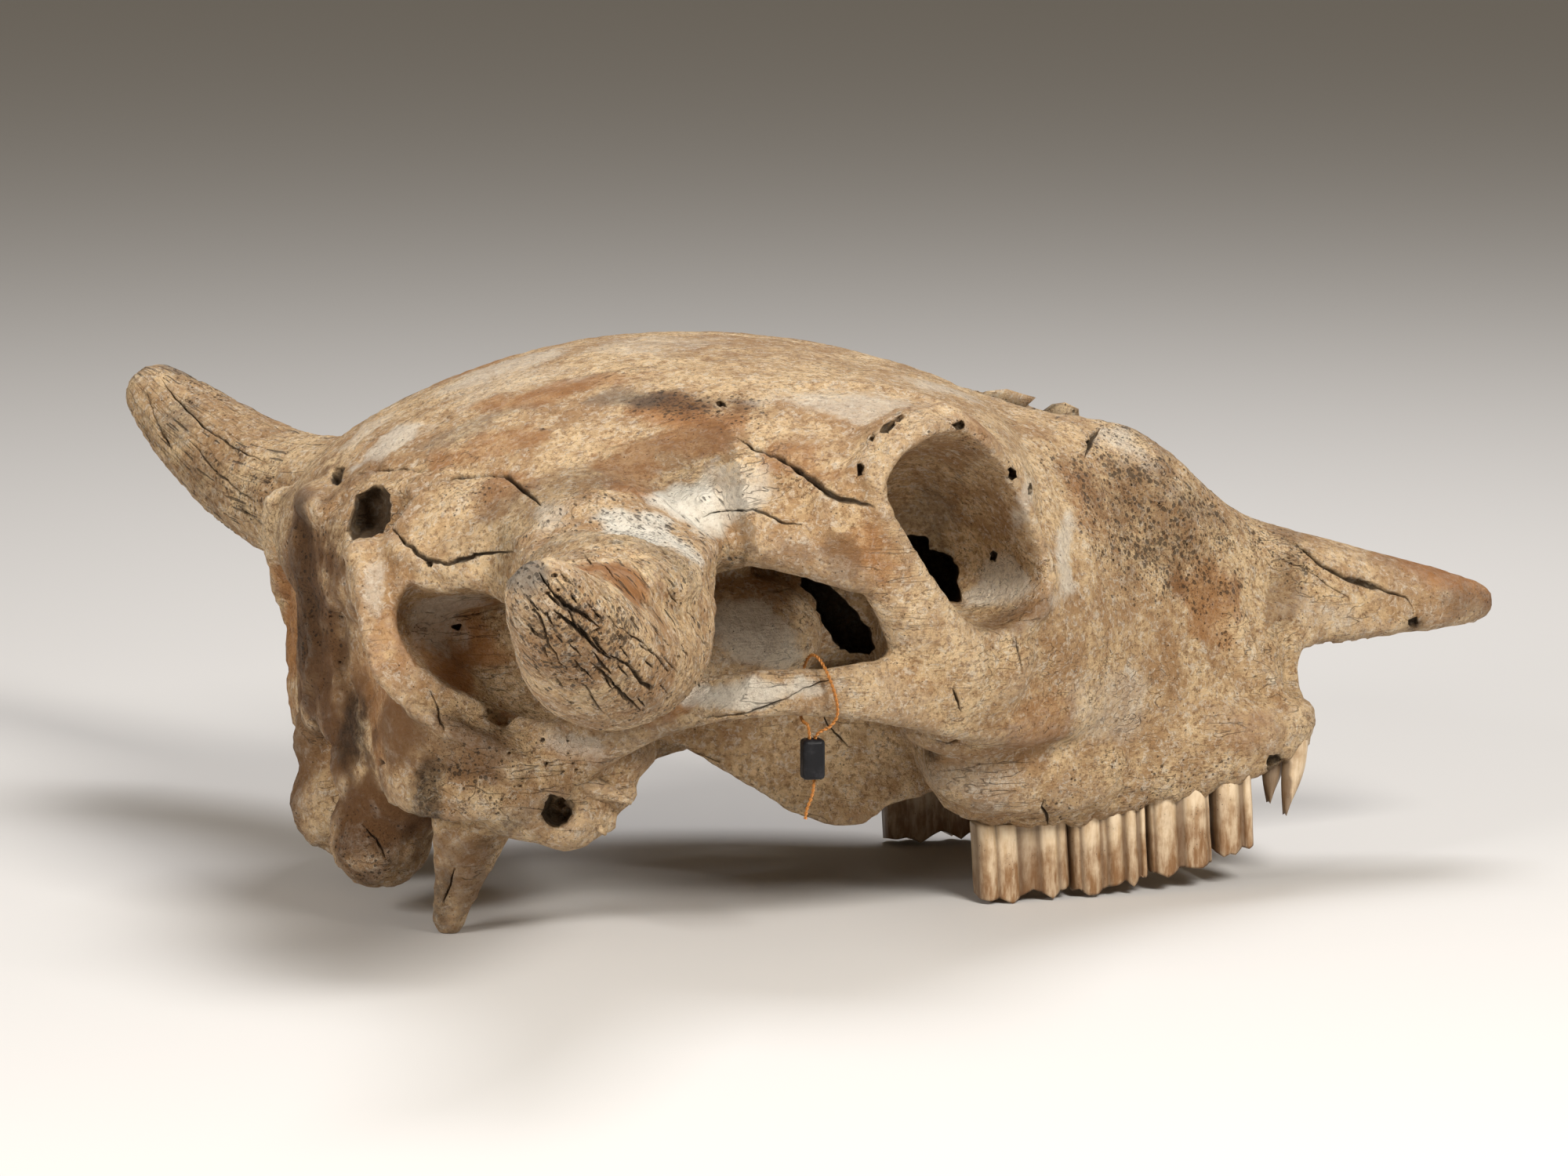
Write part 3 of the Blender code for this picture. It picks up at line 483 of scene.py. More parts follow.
def ear_region(side):
    """The lumps round the ear opening, the bulla and the jaw joint."""
    return [
        blob("mastoid", (-118, 98, 58), (24, 18, 22), side),
        blob("ear lump", (-106, 102, 46), (14, 12, 13), side),
        blob("ear ridge", (-92, 100, 56), (12, 9, 11), side),
        blob("jaw joint", (-92, 88, 66), (22, 22, 12), side),
        blob("bulla", (-98, 46, 46), (17, 11, 13), side),
        limb("ear spike", [(-100, 104, 50, 5, 7), (-92, 105, 43, 3.5, 4), (-88, 105, 39, 2, 2)], side),
        limb("joint spike", [(-92, 103, 60, 5, 6), (-85, 105, 54, 3.5, 4), (-81, 105, 50, 2, 2)], side),
    ]


def neck_joint(side):
    """One occipital condyle with its neck and the process that hangs beside it."""
    process = [
        (-130, 88, 68, 22, 14), (-134, 82, 48, 18, 11), (-137, 77, 30, 13, 8.5),
        (-140, 72, 15, 8.5, 7), (-141.5, 69, 4, 7, 6), (-141.5, 68.5, -1.5, 5.5, 5),
    ]
    return [
        blob("condyle", (-158, 32, 30), (19, 21, 20), side),
        blob("condyle neck", (-152, 36, 48), (20, 24, 20), side),
        blob("neck web", (-145, 60, 57), (16, 25, 14), side),
        limb("process", process, side, up=(0, 1, 0)),
    ]


# %% [markdown]
# With the makers ready, all bone that is added goes in one list, the thin rims that
# must survive the scooping in a second, and the hollows in a third.

# %% Bone that is added
def bone_masses():
    """Every mass of bone that is added, for both sides."""
    masses = [
        half_sections("roof", ROOF),
        half_sections("face", FACE),
        half_sections("nasal", NASAL),
        half_sections("rear wall", REAR_WALL),
        occiput_plate(),
        brain_case(),
        limb("base", [
            (-158, 0, 23, 21, 9), (-132, 0, 33, 21, 11), (-100, 0, 46, 20, 13),
            (-60, 0, 57, 18, 13), (-20, 0, 67, 16, 12), (20, 0, 76, 14, 12),
        ]),
        blob("crest knob", (-174, 6, 146), (9, 22, 8)),
        limb("neck ridge", [
            (-176, 0, 142, 9, 7), (-180, 0, 122, 8, 7), (-177, 0, 96, 7, 6), (-172, 0, 72, 7, 6),
        ]),
    ]
    masses.append(limb("near horn top", NEAR_HORN_TOP))
    for side in (RIGHT, LEFT):
        masses.append(maxilla_border(side))
        masses.append(limb("horn core", horn_stations(side), side, count=14))
        masses.append(limb("neck crest", NECK_CREST, side))
        masses.append(limb("arch", ARCH, side))
        masses.append(limb("temple edge", TEMPLE_EDGE, side))
        masses.append(limb("orbit bar", ORBIT_BAR, side, up=(1, 0, 0)))
        masses.append(blob("temple bulge", (-28, 46, 98), (30, 19, 22), side))
        masses.extend(rim_bars(side))
        masses.append(blob("facial tuber", (46, 88, 71), (28, 12, 13), side))
        masses.append(limb("cheek slope", [
            (30, 76, 58, 8, 14), (52, 80, 54, 11, 20), (82, 75, 50, 10, 19), (114, 65, 50, 7, 15),
        ], side))
        masses.append(blob("cheek fill", (40, 113, 96), (22, 11, 20), side))
        masses.extend(ear_region(side))
        masses.extend(neck_joint(side))
    return masses


def orbit_rim(side):
    """The rim's spots; the left one sits a little lower."""
    drop = LEFT_RIM_DROP if side == LEFT else 0.0
    return [(x, y, z - drop) for x, y, z in ORBIT_RIM]


def rim_ring(side, size, way):
    """The rim's spots, scaled about their middle and moved along the socket's axis."""
    rim = [Vector(spot) for spot in orbit_rim(side)]
    middle = sum(rim, Vector()) / len(rim)
    return [tuple(middle + (spot - middle) * size + Vector(SOCKET_AXIS) * way) for spot in rim]


def orbit_socket(side):
    """The hollow of one eye socket: the rim's outline, narrowing inwards."""
    rings = [[(x, side * y, z) for x, y, z in rim_ring(side, *step)] for step in SOCKET_STEPS]
    return sweep("orbit", rings, 1)


RIM_BARS = ((1.05, 0.5, 4.5), (1.07, 9.0, 7.0), (1.04, 20.0, 8.0))


def rim_bars(side):
    """Round bars just outside the rim, which give it its thickness."""
    return [
        tube("rim bar", rim_ring(side, size, way), radius, side, closed=True)
        for size, way, radius in RIM_BARS
    ]


THIN_LIMBS = [
    ("snout corner", [(168, 35, 98, 6, 10), (184, 31, 91, 5, 9), (199, 27, 87, 4, 6)]),
    ("snout edge", [
        (180, 33, 92, 6, 7), (183, 32, 80, 6, 7), (184, 33, 68, 6, 7), (181, 36, 56, 6, 7),
    ]),
    ("upper spike", [(-105, 99, 64, 8, 8), (-98, 103, 72, 5, 5), (-93, 105, 79, 2, 2)]),
    ("front spike", [(-103, 101, 58, 8, 8), (-94, 104, 54, 5, 5), (-86, 106, 51, 2, 2)]),
    ("lower spike", [(-105, 103, 54, 7, 7), (-100, 106, 47, 4, 4), (-96, 107, 41, 2, 2)]),
    ("condyle stalk", [(-158, 35, 36, 16, 14), (-163, 33, 52, 13, 13), (-169, 28, 68, 11, 10)]),
]


def thin_masses():
    """Bone that is added after the scooping: the thin plates."""
    masses = [wing_plate(RIGHT), wing_plate(LEFT)]
    for side in (RIGHT, LEFT):
        for name, stations in THIN_LIMBS:
            masses.append(limb(name, stations, side))
    masses.append(limb("septum base", [(60, 0, 60, 3, 8), (110, 0, 56, 3, 7), (150, 0, 54, 3, 6)]))
    return masses


# %% Hollows that are scooped out
def hollows():
    """Every hollow that is cut out of the bone."""
    cuts = [
        limb("nasal cavity", [
            (64, 0, 118, 26, 30), (90, 0, 116, 38, 46), (118, 0, 108, 38, 48),
            (142, 0, 97, 33, 41), (164, 0, 88, 29, 34), (184, 0, 84, 27, 31),
            (206, 0, 76, 23, 34), (232, 0, 70, 17.5, 34), (256, 0, 66, 10, 31), (264, 0, 62, 7, 30),
        ]),
        limb("broken nasal roof", [
            (78, 0, 176, 20, 16), (92, 0, 172, 26, 22), (112, 0, 168, 25, 22),
            (134, 0, 160, 21, 20), (152, 0, 148, 14, 14),
        ]),
        limb("inner nostril", [(2, 0, 58, 16, 14), (34, 0, 60, 20, 16), (70, 0, 84, 22, 18)]),
        limb("palate", [
            (30, 0, 36, 38, 22), (60, 0, 32, 40, 20), (100, 0, 34, 37, 18),
            (140, 0, 38, 32, 15), (178, 0, 42, 27, 14), (200, 0, 44, 24, 14),
        ]),
        limb("foramen magnum", [(-200, 0, 46, 17, 15), (-176, 0, 50, 17, 16), (-140, 0, 60, 14, 14)]),
        limb("sinus hole", [(-190, 76, 151, 10, 10), (-172, 70, 151, 10, 10), (-150, 58, 152, 8, 9)]),
    ]
    for side in (RIGHT, LEFT):
        cuts.append(orbit_socket(side))
        cuts.append(limb("temporal fossa", [
            (-169, 104, 129, 20, 3), (-163, 108, 122, 34, 9), (-152, 106, 114, 38, 15),
            (-138, 100, 107, 36, 19), (-116, 90, 104, 30, 22),
            (-84, 90, 110, 28, 20), (-52, 94, 113, 31, 22), (-22, 96, 112, 31, 24),
            (-2, 90, 110, 26, 20), (12, 74, 112, 17, 17), (22, 50, 114, 12, 12),
        ], side))
        cuts.append(limb("fossa mouth", [
            (-142, 118, 100, 14, 15), (-112, 130, 100, 16, 15), (-84, 138, 112, 16, 12),
            (-52, 140, 119, 18, 14), (-27, 140, 114, 18, 14), (-10, 136, 106, 14, 9),
        ], side))
        cuts.append(limb("ear opening", [
            (-112, 130, 47, 5, 5), (-108, 104, 50, 5, 5), (-104, 92, 52, 3, 3),
        ], side))
        cuts.append(limb("side of snout", [
            (196, 62, 92, 10, 12), (184, 58, 96, 9, 11), (170, 58, 100, 8, 8),
        ], side))
        cuts.append(limb("under the brain case", [
            (-60, 68, 44, 14, 10), (-20, 76, 54, 22, 14), (20, 74, 50, 16, 12),
        ], side))
    return cuts


# %% [markdown]
# Voxel remeshing melts the lumps into one skin, a smoothing pass takes the seams out,
# and a Boolean scoops the hollows. The rims come after the scoop, so that it can't thin
# them, and a last, finer remesh joins them on.

# %% Melt the clay
def fuse(thing, voxel):
    """Merge everything in an object into one skin."""
    remesh = thing.modifiers.new("Fuse", "REMESH")
    remesh.mode = "VOXEL"
    remesh.voxel_size = voxel * MM
    remesh.adaptivity = 0.0


def relax(thing, factor, times):
    """Smooth an object's skin."""
    smooth = thing.modifiers.new("Relax", "SMOOTH")
    smooth.factor = factor
    smooth.iterations = times


def bake(thing):
    """Replace an object's mesh by its evaluated one and drop the modifiers."""
    bpy.context.view_layer.update()
    view = bpy.context.evaluated_depsgraph_get()
    mesh = bpy.data.meshes.new_from_object(thing.evaluated_get(view))
    thing.modifiers.clear()
    thing.data = mesh


def gathered(name, lumps, voxel):
    """Join evaluated lumps in one object and melt them."""
    bpy.context.view_layer.update()
    view = bpy.context.evaluated_depsgraph_get()
    bm = bmesh.new()
    for lump in lumps:
        shown = lump.evaluated_get(view)
        bm.from_mesh(shown.to_mesh())
        shown.to_mesh_clear()
    for lump in lumps:
        bpy.data.objects.remove(lump, do_unlink=True)
    thing = put(name, bm)
    fuse(thing, voxel)
    return thing


def cut(thing, cutter):
    """Take one object out of another."""
    boolean = thing.modifiers.new("Cut", "BOOLEAN")
    boolean.operation = "DIFFERENCE"
    boolean.solver = "MANIFOLD"
    boolean.object = cutter


CLAY_VOXEL = 2.2
BONE_VOXEL = 1.6

bone = gathered("bone", bone_masses(), CLAY_VOXEL)
relax(bone, 0.5, 6)
scoop = gathered("scoop", hollows(), CLAY_VOXEL)
bake(scoop)
cut(bone, scoop)
bake(bone)
rims = gathered("rims", thin_masses(), BONE_VOXEL)
bake(rims)
joined = bmesh.new()
joined.from_mesh(bone.data)
joined.from_mesh(rims.data)
joined.to_mesh(bone.data)
joined.free()
for helper in (rims, scoop):
    bpy.data.objects.remove(helper, do_unlink=True)
fuse(bone, BONE_VOXEL)
relax(bone, 0.5, 4)
bake(bone)
print("bone faces after melting:", len(bone.data.polygons))

# %% [markdown]
# ## Finding a spot on the bone
# Many marks are easier to place by where the picture shows them. A ray from the camera
# through that point of the picture meets the bone at the real place of the mark, so it
# sits on the surface from every side. The next cell keeps a search tree of the bone for
# such rays, and turns a line drawn on the picture into a line on the bone.

# %% Rays and lines on the bone
class Surface:
    """A search tree of an object's skin, with its points and normals as arrays."""

    def __init__(self, thing):
        mesh = thing.data
        count = len(mesh.vertices)
        self.points = np.empty(count * 3)
        mesh.vertices.foreach_get("co", self.points)
        self.points = self.points.reshape(-1, 3)
        self.normals = np.empty(count * 3)
        mesh.vertices.foreach_get("normal", self.normals)
        self.normals = self.normals.reshape(-1, 3)
        self.tree = BVHTree.FromPolygons(
            self.points.tolist(), [tuple(face.vertices) for face in mesh.polygons],
        )

    def spot(self, px, py):
        """Where the picture's point lies on the skin, and the skin's normal there."""
        place, normal, _, _ = self.tree.ray_cast(camera.location, sight(px, py))
        return place, normal


def dense_line(surface, marks, spacing, wobble=0.0, seed=0.0):
    """Spots along a line of picture points: place, normal and share of the length."""
    spots = []
    total = sum(math.dist(a, b) for a, b in zip(marks, marks[1:]))
    walked = 0.0
    pixel_step = spacing * PIXELS_PER_MM
    for a, b in zip(marks, marks[1:]):
        length = math.dist(a, b)
        steps = max(1, round(length / pixel_step))
        side = ((b[1] - a[1]) / length, (a[0] - b[0]) / length)
        for step in range(steps):
            t = step / steps
            share = (walked + length * t) / total
            sway = 0.0
            if wobble:
                fine = noise.noise((seed, (walked + length * t) * 0.09, 0.0))
                coarse = noise.noise((seed + 7.0, (walked + length * t) * 0.03, 0.0))
                sway = wobble * PIXELS_PER_MM * (fine + coarse)
            px = a[0] + (b[0] - a[0]) * t + side[0] * sway
            py = a[1] + (b[1] - a[1]) * t + side[1] * sway
            place, normal = surface.spot(px, py)
            if place is not None:
                spots.append((place, normal, share))
        walked += length
    place, normal = surface.spot(*marks[-1])
    if place is not None:
        spots.append((place, normal, 1.0))
    return spots


# %% [markdown]
# ## Broad relief
# A stroke raises or lowers the skin along such a line: ridges where muscles held on,
# shallow furrows, swellings. Each row gives the height in millimetres (negative sinks
# the skin), the half width, and the line in picture points. Only skin that faces the
# same way as the stroke moves, so a thin plate isn't pushed through.

# %% Ridges and furrows
STROKES = [
    (4.0, 5, [(454, 690), (462, 735), (472, 800), (490, 858), (530, 905), (590, 938), (640, 958)]),
    (-3.2, 7, [(436, 740), (430, 800), (436, 860), (452, 910)]),
    (3.6, 6, [(387, 697), (392, 755), (406, 824), (398, 880), (390, 911)]),
    (-1.6, 5, [(368, 720), (366, 790), (372, 850)]),
    (2.6, 5, [(520, 850), (560, 880), (610, 905), (670, 925), (730, 935)]),
    (-2.0, 9, [(560, 800), (600, 840), (640, 870)]),
    (1.6, 7, [(640, 985), (690, 975), (740, 950)]),
    (-1.8, 6, [(600, 985), (650, 1010), (690, 1000)]),
    (1.8, 6, [(989, 489), (1066, 492), (1145, 499), (1212, 522), (1245, 542)]),
    (-1.4, 9, [(1000, 530), (1060, 545), (1110, 560)]),
    (1.2, 10, [(560, 640), (620, 660), (660, 690)]),
    (-1.2, 9, [(560, 600), (640, 600), (700, 620)]),
    (1.6, 6, [(497, 700), (550, 722), (600, 742), (640, 760)]),
    (-1.4, 8, [(930, 640), (990, 620), (1050, 650)]),
    (1.0, 10, [(900, 700), (960, 690), (1040, 700), (1100, 750)]),
    (-1.8, 10, [(1350, 600), (1370, 680), (1370, 760)]),
    (1.5, 10, [(1440, 590), (1500, 640), (1540, 700)]),
    (-1.5, 12, [(1400, 850), (1480, 820), (1540, 840)]),
    (1.8, 12, [(1520, 900), (1580, 930), (1640, 940)]),
    (-2.2, 12, [(1600, 760), (1650, 740), (1690, 750)]),
    (2.0, 8, [(1560, 700), (1570, 780), (1600, 850), (1650, 900)]),
    (1.4, 6, [(1700, 800), (1770, 800), (1810, 785)]),
    (-1.2, 6, [(1640, 690), (1690, 728), (1760, 752)]),
    (0.6, 9, [(1150, 880), (1220, 890), (1290, 870)]),
    (-0.5, 9, [(1230, 930), (1300, 900), (1330, 860)]),
    (0.8, 5, [(1260, 1030), (1330, 1045), (1420, 1010), (1520, 985)]),
    (1.2, 5, [(880, 880), (940, 868), (1000, 862)]),
    (-1.0, 5, [(870, 945), (930, 975), (1000, 1010)]),
    (5.5, 17, [(686, 702), (740, 698), (800, 704), (850, 722), (895, 752)]),
    (2.5, 10, [(700, 716), (750, 714), (805, 722), (850, 738), (888, 762)]),
    (-1.6, 6, [(1480, 575), (1520, 612), (1556, 652)]),
    (-2.0, 7, [(540, 700), (580, 660), (640, 640)]),
    (1.8, 6, [(440, 700), (500, 694), (520, 710)]),
    (-1.6, 7, [(1180, 900), (1230, 925), (1290, 925)]),
]


def push(points, normals, spots, height, reach):
    """Move the skin near a line of spots in or out along its normals."""
    tree = KDTree(len(spots))
    for place, (spot, _, _) in enumerate(spots):
        tree.insert(spot, place)
    tree.balance()
    low = np.min([spot for spot, _, _ in spots], axis=0) - reach * MM
    high = np.max([spot for spot, _, _ in spots], axis=0) + reach * MM
    near = np.nonzero(np.all((points > low) & (points < high), axis=1))[0]
    for place in near:
        _, nearest, distance = tree.find(points[place])
        closeness = 1.0 - distance / (reach * MM)
        if closeness <= 0.0:
            continue
        _, facing, share = spots[nearest]
        agree = float(np.dot(normals[place], facing))
        if agree < 0.15:
            continue
        fade = min(1.0, share * 6.0, (1.0 - share) * 6.0 + 0.15)
        swell = closeness * closeness * (3.0 - 2.0 * closeness)
        points[place] += normals[place] * (height * MM * swell * min(1.0, agree * 1.5) * max(fade, 0.15))


surface = Surface(bone)
for height, reach, marks in STROKES:
    push(surface.points, surface.normals, dense_line(surface, marks, 2.0), height, reach)
print("strokes:", len(STROKES))

# %% [markdown]
# ## Horn grain
# A horn core is furrowed along its length, because the horn sheath sat on it like a
# glove. For that the grooves must follow the curve of the horn. For each point we find
# where it lies along the horn's middle line and how far round, and use the two as the
# coordinates of a noise. The same coordinates are kept for the shader.

# %% Coordinates along and around each horn
HORN_START = 96.0
HORN_FULL = 128.0


def smooth_share(low, high, value):
    """0 below low, 1 above high, a smooth curve between."""
    share = np.clip((value - low) / (high - low), 0.0, 1.0)
    return share * share * (3.0 - 2.0 * share)


# The near horn bends towards us, and its furrows run straight from the tip down to the
# right in the picture
HORN_TILT = math.radians(52.0)
HORN_RUN = np.array(picture_right * math.cos(HORN_TILT) - picture_up * math.sin(HORN_TILT))
HORN_ACROSS = np.array(picture_right * math.sin(HORN_TILT) + picture_up * math.cos(HORN_TILT))
HORN_IN = np.array(look)


def grain_space(points):
    """For each point: horn share, and its place in a space that follows the grain."""
    survey = (points - np.array(SHIFT)) / MM
    horn = np.zeros(len(points))
    flow = survey * np.array((0.4, 1.0, 1.0))
    for side in (RIGHT, LEFT):
        stations = np.array([(x, side * y, z, a, b) for x, y, z, a, b in horn_stations(side)])
        middles = stations[:, :3]
        chosen = np.nonzero((survey[:, 1] * side > HORN_START) & (survey[:, 0] < -50))[0]
        near = survey[chosen]
        best = np.full(len(near), 1e9)
        along = np.zeros(len(near))
        offset = np.zeros((len(near), 3))
        reach = np.zeros(len(near))
        walked = 0.0
        for place in range(len(middles) - 1):
            start, step = middles[place], middles[place + 1] - middles[place]
            length = np.linalg.norm(step)
            t = np.clip((near - start) @ step / length ** 2, 0.0, 1.0)
            gap = near - (start + t[:, None] * step)
            distance = np.linalg.norm(gap, axis=1)
            closer = distance < best
            best[closer] = distance[closer]
            along[closer] = walked + t[closer] * length
            offset[closer] = gap[closer]
            reach[closer] = (stations[place, 3] + (stations[place + 1, 3] - stations[place, 3]) * t)[closer]
            walked += length
        share = smooth_share(HORN_START, HORN_FULL, near[:, 1] * side)
        share *= 1.0 - smooth_share(1.25, 1.6, best / np.maximum(reach, 5.0))
        turn = offset / np.maximum(best, 1.0)[:, None]
        horn[chosen] = share
        grain = np.column_stack((along * 0.14, turn[:, 0] * 24.0, turn[:, 2] * 24.0 + side * 90.0))
        if side == RIGHT:
            grain = np.column_stack((near @ HORN_RUN * 0.16, near @ HORN_ACROSS, near @ HORN_IN * 0.5))
        flow[chosen] = flow[chosen] * (1 - share[:, None]) + grain * share[:, None]
    return horn, flow


def noise_of(places, size, seed, octaves=3):
    """Layered noise at places in millimetres, features of about the given size."""
    scaled = places / size + seed
    return np.array([noise.fractal(spot, 0.9, 2.1, octaves) for spot in scaled.tolist()])


# %% Furrows, lumps and pitted patches
horn_share, grain = grain_space(surface.points)
survey_points = (surface.points - np.array(SHIFT)) / MM
lumps = noise_of(survey_points, 34.0, 3.1)
ripple = noise_of(grain, 6.5, 11.7)
fine = noise_of(survey_points, 5.0, 23.9)
crags = noise_of(survey_points, 8.5, 53.1, 4)
height = lumps * 0.55 + fine * 0.30 - np.abs(crags) * 0.55 + 0.15
height += ripple * 0.14 * (1 - horn_share)
behind = np.clip((-118 - survey_points[:, 0]) / 40, 0, 1)
height += (crags * 0.9 + fine * 0.4) * behind * (1 - horn_share)
furrows = -np.abs(ripple) * 1.5 + 0.4 - np.abs(crags) * 0.5
height = height * (1 - horn_share * 0.4) + furrows * horn_share
surface.points += surface.normals * (height * MM)[:, None]
# The gum line: its distance from the midline, half its width, its rear end and its top
GUM_LINE = (58, 16, 40, 52)
gum_middle, gum_half, gum_rear, gum_top = GUM_LINE
gum = np.abs(np.abs(survey_points[:, 1]) - gum_middle) < gum_half
gum &= (survey_points[:, 0] > gum_rear) & (survey_points[:, 2] < gum_top)
surface.points[gum, 2] += noise_of(survey_points[gum] * (1.0, 1.0, 0.2), 7.0, 37.7, 3) * 2.6 * MM
bone.data.vertices.foreach_set("co", surface.points.ravel())
bone.data.update()
print("relief, mm:", round(float(height.min()), 2), "to", round(float(height.max()), 2))

# %% [markdown]
# The skin now has far more triangles than it needs, most of them on flat bone where
# they do nothing. A reduction keeps them where the skin bends.

# %% Fewer triangles
BONE_TRIANGLES = 165000
bone.modifiers.new("Triangles", "TRIANGULATE")
bake(bone)
reduce = bone.modifiers.new("Reduce", "DECIMATE")
reduce.ratio = BONE_TRIANGLES / len(bone.data.polygons)
bake(bone)
print("bone triangles:", len(bone.data.polygons))

# %% [markdown]
# ## Cracks and holes
# Dry bone splits along its grain, and this skull has lost some thin walls too. Each
# crack is a thin wedge that follows a line on the skin, and each hole a short plug seen
# end on from the camera. All of them are closed bodies, so a Boolean can take them out
# of the bone and leave real depth. A row of a crack is its width and depth in
# millimetres and its line in picture points.

# %% Cracks
CRACKS = [
    (2.4, 4.5, [(940, 558), (960, 573), (989, 580), (1013, 596), (1033, 609), (1052, 626),
                (1072, 636), (1114, 647)]),
    (1.2, 2.5, [(896, 660), (905, 655), (930, 651), (960, 649), (986, 659), (1003, 667), (1023, 669)]),
    (1.0, 2.2, [(452, 606), (480, 601), (514, 598), (548, 602)]),
    (2.2, 3.8, [(556, 614), (590, 609), (620, 606), (646, 607), (668, 625), (690, 645)]),
    (2.0, 3.5, [(496, 672), (510, 684), (527, 700), (545, 712), (569, 719), (607, 708), (655, 703)]),
    (0.8, 1.6, [(569, 790), (590, 786), (612, 784), (639, 777)]),
    (1.3, 3.0, [(1296, 812), (1300, 834), (1304, 858)]),
    (1.0, 2.5, [(1215, 878), (1220, 892), (1226, 908)]),
    (0.9, 2.0, [(1190, 942), (1208, 948), (1226, 944), (1240, 938)]),
    (1.2, 2.2, [(901, 915), (926, 914), (952, 910), (975, 903), (993, 895), (1010, 886)]),
    (0.8, 1.6, [(1010, 886), (1029, 877), (1046, 870), (1062, 866)]),
    (1.6, 3.0, [(1404, 546), (1392, 562), (1384, 584)]),
    (1.7, 3.2, [(698, 740), (708, 756), (720, 772), (743, 783), (764, 800)]),
    (1.5, 3.2, [(706, 778), (726, 794), (743, 809), (766, 832), (779, 840)]),
    (1.6, 3.2, [(779, 836), (801, 847), (819, 870), (840, 885), (862, 894)]),
    (1.4, 3.0, [(752, 846), (776, 866), (794, 885), (817, 906)]),
    (1.0, 2.2, [(672, 760), (690, 790), (700, 822), (716, 850)]),
    (1.0, 2.2, [(790, 800), (820, 820), (842, 842), (862, 868)]),
    (1.0, 2.2, [(740, 728), (766, 748), (786, 766)]),
    (1.1, 2.6, [(1331, 1020), (1328, 1030), (1334, 1040), (1338, 1056)]),
    (0.8, 2.0, [(1047, 911), (1056, 924), (1068, 938), (1082, 953)]),
    (0.9, 1.8, [(186, 500), (200, 540), (224, 580), (258, 620)]),
    (1.1, 2.2, [(205, 486), (232, 516), (262, 546), (300, 572), (340, 590)]),
    (1.0, 2.0, [(240, 560), (270, 596), (306, 628), (342, 650)]),
    (1.0, 2.0, [(300, 640), (326, 664), (350, 684)]),
    (0.9, 1.8, [(454, 566), (476, 560), (500, 548), (532, 530)]),
    (0.9, 1.8, [(700, 486), (742, 480), (800, 470), (846, 466)]),
    (0.8, 1.6, [(1040, 470), (1086, 470), (1130, 474), (1166, 484)]),
    (0.8, 1.5, [(968, 756), (990, 754), (1012, 750), (1030, 754)]),
    (1.0, 2.2, [(548, 882), (560, 906), (566, 934)]),
    (0.8, 1.8, [(462, 1052), (480, 1070), (492, 1096)]),
    (0.8, 1.8, [(580, 1108), (572, 1130), (566, 1152)]),
    (0.8, 1.6, [(850, 950), (880, 958), (918, 972)]),
    (0.9, 2.0, [(1636, 716), (1660, 722), (1690, 744), (1720, 762)]),
    (2.1, 5.0, [(1638, 686), (1661, 700), (1689, 723), (1718, 738), (1758, 749), (1793, 761), (1803, 778)]),
]


def to_survey(place):
    """A point of the frame in metres as survey millimetres."""
    return (Vector(place) - SHIFT) / MM


def wedge(spots, width, depth):
    """A thin closed wedge along spots on the skin, thinning out at both ends."""
    rings = []
    for place, (spot, normal, share) in enumerate(spots):
        ahead = spots[min(place + 1, len(spots) - 1)][0]
        behind = spots[max(place - 1, 0)][0]
        side = (ahead - behind).cross(normal).normalized()
        swell = math.sin(math.pi * (0.04 + share * 0.92)) ** 0.6
        rough = 1.0 + 0.7 * noise.noise(spot * 260.0)
        half = width / 2 * swell * max(0.45, rough)
        centre = to_survey(spot)
        rings.append([
            centre + normal * 1.2 + side * half * 1.5,
            centre + normal * 1.2 - side * half * 1.5,
            centre - normal * depth * swell * 0.5 - side * half * 0.7,
            centre - normal * depth * swell,
            centre - normal * depth * swell * 0.5 + side * half * 0.7,
        ])
    return sweep("crack", rings, 0)


# Short dashes all over the near horn, where the furrows between its fibres are deepest
HORN_DASHES = 60
HORN_PATCH = (778, 812, 122, 104)
GOLDEN_TURN = 2.399963
patch_x, patch_y, patch_wide, patch_high = HORN_PATCH
for place in range(HORN_DASHES):
    spread, turn = math.sqrt((place + 0.5) / HORN_DASHES), place * GOLDEN_TURN
    px = patch_x + patch_wide * spread * math.cos(turn)
    py = patch_y + patch_high * spread * math.sin(turn)
    run = 7 + 11 * abs(noise.noise((place * 7.1, 0.3, 0.0))) * 2
    lean = math.radians(50 + 22 * noise.noise((place * 3.3, 8.8, 0.0)))
    step = Vector((math.cos(lean), math.sin(lean))) * run
    width = 0.7 + 1.1 * abs(noise.noise((place * 5.7, 2.2, 0.0)))
    CRACKS.append((width, 1.6 + width, [(px - step.x, py - step.y), (px, py), (px + step.x, py + step.y)]))

surface = Surface(bone)
cutters = []
for place, (width, depth, line) in enumerate(CRACKS):
    spots = dense_line(surface, line, 1.3, 0.55, place * 3.7)
    runs = [[spots[0]]]
    for spot in spots[1:]:
        if (spot[0] - runs[-1][-1][0]).length < 6 * MM:
            runs[-1].append(spot)
        else:
            runs.append([spot])
    steady = max(runs, key=len)
    if len(steady) > 3:
        cutters.append(wedge(steady, width, depth))
    else:
        print("crack", place, "missed the skin")
print("cracks:", len(cutters))

# %% [markdown]
# A plug starts a little in front of the skin and goes in along the line of sight. Its
# ring shrinks on the way, so a cavity gets a slanting wall as in the picture.

